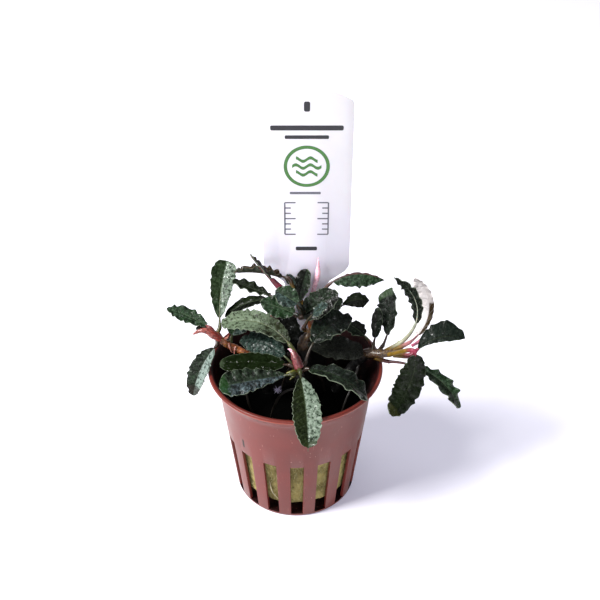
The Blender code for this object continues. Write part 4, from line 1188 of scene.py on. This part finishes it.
def flatBar(x, z, width, tall, corner):    # a rounded bar just in front of the label's face
    deselectAll()
    place = ((labelLook["x"] + x) * mm, (labelLook["y"] - 0.5 * labelLook["thickness"]) * mm, z * mm)
    bpy.ops.mesh.primitive_plane_add(size=mm, location=place, rotation=(math.radians(90.0), 0, 0),
                                     scale=(width, tall, 1.0))
    item = bpy.context.object
    item.scale = (width, tall, 1.0)
    fixPlace(item)
    startEdit(item)
    bpy.ops.mesh.select_all(action="SELECT")
    bpy.ops.mesh.bevel(offset=corner * mm, segments=4, affect="VERTICES")
    endEdit()
    return item


def finishPrint(parts, name, tone):
    item = joinAll(parts)
    shift = -printLook["proud"] * mm
    for vert in item.data.vertices:
        vert.co.y += shift
    applyModifier(item, "SOLIDIFY", thickness=printLook["thickness"] * mm, offset=0.0)
    material, tree, shader = newMaterial(name, Roughness=0.45)
    tint = useGroup(tree, mottle, {"Colour": labelLook[tone], "Scale": 900.0, "Darkest": 0.9, "Lightest": 1.15})
    linkTo(tree, tint["Colour"], shader["Base Color"])
    item.data.materials.append(material)
    finishPiece(item, name, "label_plastic")


def makeRing():
    x, z, radius, wide = printLook["ring"]
    deselectAll()
    place = ((labelLook["x"] + x) * mm, (labelLook["y"] - 0.5 * labelLook["thickness"]) * mm, z * mm)
    bpy.ops.mesh.primitive_circle_add(vertices=72, radius=radius * mm, fill_type="NGON", location=place,
                                      rotation=(math.radians(90.0), 0, 0))
    ring = bpy.context.object
    fixPlace(ring)
    startEdit(ring)
    bpy.ops.mesh.select_all(action="SELECT")
    bpy.ops.mesh.inset(thickness=wide * mm)
    bpy.ops.mesh.delete(type="FACE")
    endEdit()
    return ring


def makeWave(drop):
    x, z, radius, wide = printLook["ring"]
    length = printLook["waveLength"] - abs(drop)
    deselectAll()
    bpy.ops.mesh.primitive_grid_add(x_subdivisions=40, y_subdivisions=1, size=1.0)
    wave = bpy.context.object
    for vert in wave.data.vertices:
        along, up = vert.co.x * length, vert.co.y * wide
        swell = printLook["waveHeight"] * math.sin(2.0 * math.pi * along / 4.2)
        vert.co = Vector((labelLook["x"] + x + along, labelLook["y"] - 0.5 * labelLook["thickness"],
                          z + drop + up + swell)) * mm
    return wave


def buildPrint():
    for tone in ("ink", "softInk"):
        bars = [flatBar(x, z, width, tall, 0.3 * min(width, tall))
                for x, z, width, tall, ink in printLook["bars"] if ink == tone]
        if tone == "softInk":
            left, right, low, high = printLook["scale"]
            line = printLook["line"]
            middle = 0.5 * (low + high)
            bars += [flatBar(x, middle, line, high - low, 0.1) for x in (left, right)]
            for tick in range(printLook["ticks"]):
                z = low + (high - low) * tick / (printLook["ticks"] - 1)
                long = 3.2 if tick % 3 == 0 else 1.8
                bars.append(flatBar(left + 0.5 * long, z, long, line, 0.1))
                bars.append(flatBar(right - 0.5 * long, z, long, line, 0.1))
        finishPrint(bars, "printDark" if tone == "ink" else "printGrey", tone)
    finishPrint([makeRing()] + [makeWave(drop) for drop in printLook["waves"]], "printGreen", "green")
    print("label print: 3 inks")


# Roots from the rhizomes to the wool, and pale ones at the slots

rootRuns = (
    ((1.5, -12.0, 48.0), (-3.2, -12.6, 47.0), (-6.5, -12.5, 41.0), (-8.0, -11.0, 32.5)),
    ((1.5, -11.5, 46.0), (3.5, -13.5, 41.0), (2.8, -15.0, 36.0), (3.5, -15.5, 32.5)),
    ((2.0, -9.5, 42.0), (6.5, -12.0, 38.0), (9.5, -12.5, 32.5)),
    ((-13.0, 1.0, 49.0), (-15.5, -2.5, 43.0), (-15.0, -5.0, 37.0), (-13.5, -6.0, 32.5)),
    ((-10.5, 1.2, 42.0), (-11.5, 4.0, 38.0), (-13.0, 6.5, 32.5)),
    ((20.5, 1.2, 48.5), (18.0, -4.0, 43.0), (15.5, -7.5, 38.0), (14.0, -9.0, 32.5)),
    ((17.0, 1.6, 43.0), (18.5, 5.5, 38.0), (17.0, 8.0, 32.5)),
    ((3.0, 2.5, 47.0), (-2.0, 6.0, 41.0), (-4.5, 7.0, 32.5)),
    ((3.4, 2.6, 44.0), (8.0, 4.0, 39.0), (9.5, 5.0, 32.5)),
)


def makeRootMaterial(name, tone):
    material, tree, shader = newMaterial(name, Coat_Weight=0.2)
    tint = useGroup(tree, mottle, {"Colour": tone, "Scale": 600.0, "Darkest": 0.6, "Lightest": 1.4})
    linkTo(tree, tint["Colour"], shader["Base Color"])
    linkTo(tree, ramp(tree, tint["Pattern"], 0.3, 0.7, 0.4, 0.65), shader["Roughness"])
    return material


def buildRoots():
    runs = []
    for run in rootRuns:
        count = len(run)
        runs.append(tuple((point, 0.5 - 0.2 * index / count) for index, point in enumerate(run)))
    item = strandMesh("roots", runs, 10, 10)
    applyModifier(item, "DISPLACE", texture=cloudTexture("rootGrain", 0.9), texture_coords="LOCAL",
                  strength=0.25 * mm, mid_level=0.5)
    smoothSurface(item, 180.0)
    item.data.materials.append(makeRootMaterial("darkRoot", rootLook["dark"]))
    finishPiece(item, "roots", "stem")
    pale = []
    for turn, high, low in rootLook["slotRoots"]:
        middle = 0.5 * (high + low)
        pale.append(((onWool(turn - 4.0, high, -0.3), 0.12), (onWool(turn - 1.0, middle, 0.35), 0.16),
                     (onWool(turn + 3.5, low, -0.2), 0.1)))
    item = strandMesh("slotRoots", pale, 8, 8)
    smoothSurface(item, 180.0)
    item.data.materials.append(makeRootMaterial("paleRoot", rootLook["pale"]))
    finishPiece(item, "slotRoots", "stem")
    print("roots:", len(runs) + len(pale))


# A tuft of pale root hairs on the front root

tuftLook = {"centre": (-5.3, -12.6, 48.2), "count": 46, "reach": 1.6, "thickness": 0.05, "seed": 3,
            "colour": colour(196, 188, 214)}


def buildTuft():
    chance = random.Random(tuftLook["seed"])
    centre = Vector(tuftLook["centre"])
    hairs = []
    for index in range(tuftLook["count"]):
        way = Vector((chance.uniform(-1, 1), chance.uniform(-1, 0.4), chance.uniform(-1, 1))).normalized()
        bend = Vector((chance.uniform(-1, 1), chance.uniform(-1, 1), chance.uniform(-1, 1))) * 0.4
        reach = tuftLook["reach"] * chance.uniform(0.5, 1.0)
        radius = tuftLook["thickness"]
        hairs.append(((centre + way * 0.1, radius), (centre + way * 0.5 * reach + bend * 0.5, radius),
                      (centre + way * reach + bend, 0.5 * radius)))
    item = strandMesh("rootHairs", hairs, 4, 3)
    item.data.materials.append(makeRootMaterial("rootHair", tuftLook["colour"]))
    finishPiece(item, "rootHairs", "stem")
    print("root hairs:", len(hairs))


# Floor, lights and camera

studioLook = {
    "floorSize": 12.0, "floor": (0.85, 0.85, 0.88, 1.0), "floorSeen": (0.80, 0.79, 0.86, 1.0),
    "glow": (0.12, 0.12, 0.18, 1.0), "world": (0.95, 0.95, 1.0, 1.0), "worldSeen": 1.1, "worldLight": 0.2,
    "lights": {
        "key": ((-720, -260, 800), (400, 400), 25.0, (1.0, 0.99, 0.97)),
        "front": ((150, -900, 520), (500, 400), 3.6, (0.98, 0.99, 1.0)),
        "top": ((100, 200, 1000), (500, 500), 3.0, (0.97, 0.98, 1.0)),
    },
    "aim": (3.0, 0.0, 45.0),
    "camera": (1.48, -245.30, 245.51), "cameraRise": 35.2, "lens": 60.0,
}


def aimAt(item, target):
    way = Vector(target) * mm - item.location
    item.rotation_euler = way.to_track_quat("-Z", "Y").to_euler()


def buildStudio():
    deselectAll()
    bpy.ops.mesh.primitive_plane_add(size=studioLook["floorSize"])
    floor = bpy.context.object
    floor.name = "studioFloor"
    material, tree, shader = newMaterial("floorWhite", Roughness=0.9, Specular_IOR_Level=0.1)
    seen = addNode(tree, "LightPath").outputs["Is Camera Ray"]
    tone = blendColours(tree, seen, studioLook["floor"], studioLook["floorSeen"])
    linkTo(tree, tone, shader["Base Color"])
    shader["Emission Color"].default_value = studioLook["glow"]
    linkTo(tree, seen, shader["Emission Strength"])
    floor.data.materials.append(material)
    for name, (place, size, power, tint) in studioLook["lights"].items():
        deselectAll()
        bpy.ops.object.light_add(type="AREA", location=Vector(place) * mm)
        light = bpy.context.object
        light.name = name + "Light"
        light.data.shape = "RECTANGLE"
        light.data.size, light.data.size_y = size[0] * mm, size[1] * mm
        light.data.energy = power
        light.data.color = tint
        aimAt(light, studioLook["aim"])
    world = bpy.data.worlds.new("studio")
    bpy.context.scene.world = world
    world.use_nodes = True
    back = world.node_tree.nodes["Background"]
    back.inputs["Color"].default_value = studioLook["world"]
    seen = addNode(world.node_tree, "LightPath").outputs["Is Camera Ray"]
    spread = studioLook["worldSeen"] - studioLook["worldLight"]
    strength = maths(world.node_tree, "MULTIPLY_ADD", seen, spread, studioLook["worldLight"])
    linkTo(world.node_tree, strength, back.inputs["Strength"])
    deselectAll()
    bpy.ops.object.camera_add(location=Vector(studioLook["camera"]) * mm,
                              rotation=(math.radians(90.0 - studioLook["cameraRise"]), 0, 0))
    camera = bpy.context.object
    camera.data.lens = studioLook["lens"]
    camera.data.sensor_width = 36.0
    camera.data.clip_start = 10.0 * mm
    bpy.context.scene.camera = camera
    bpy.context.scene.view_settings.view_transform = "Standard"
    print("studio: floor,", len(studioLook["lights"]), "lights and camera")


buildPot()
buildWool()
buildFibres()
buildStems()
buildLeaves()
buildLabel()
buildPrint()
buildRoots()
buildTuft()
buildStudio()
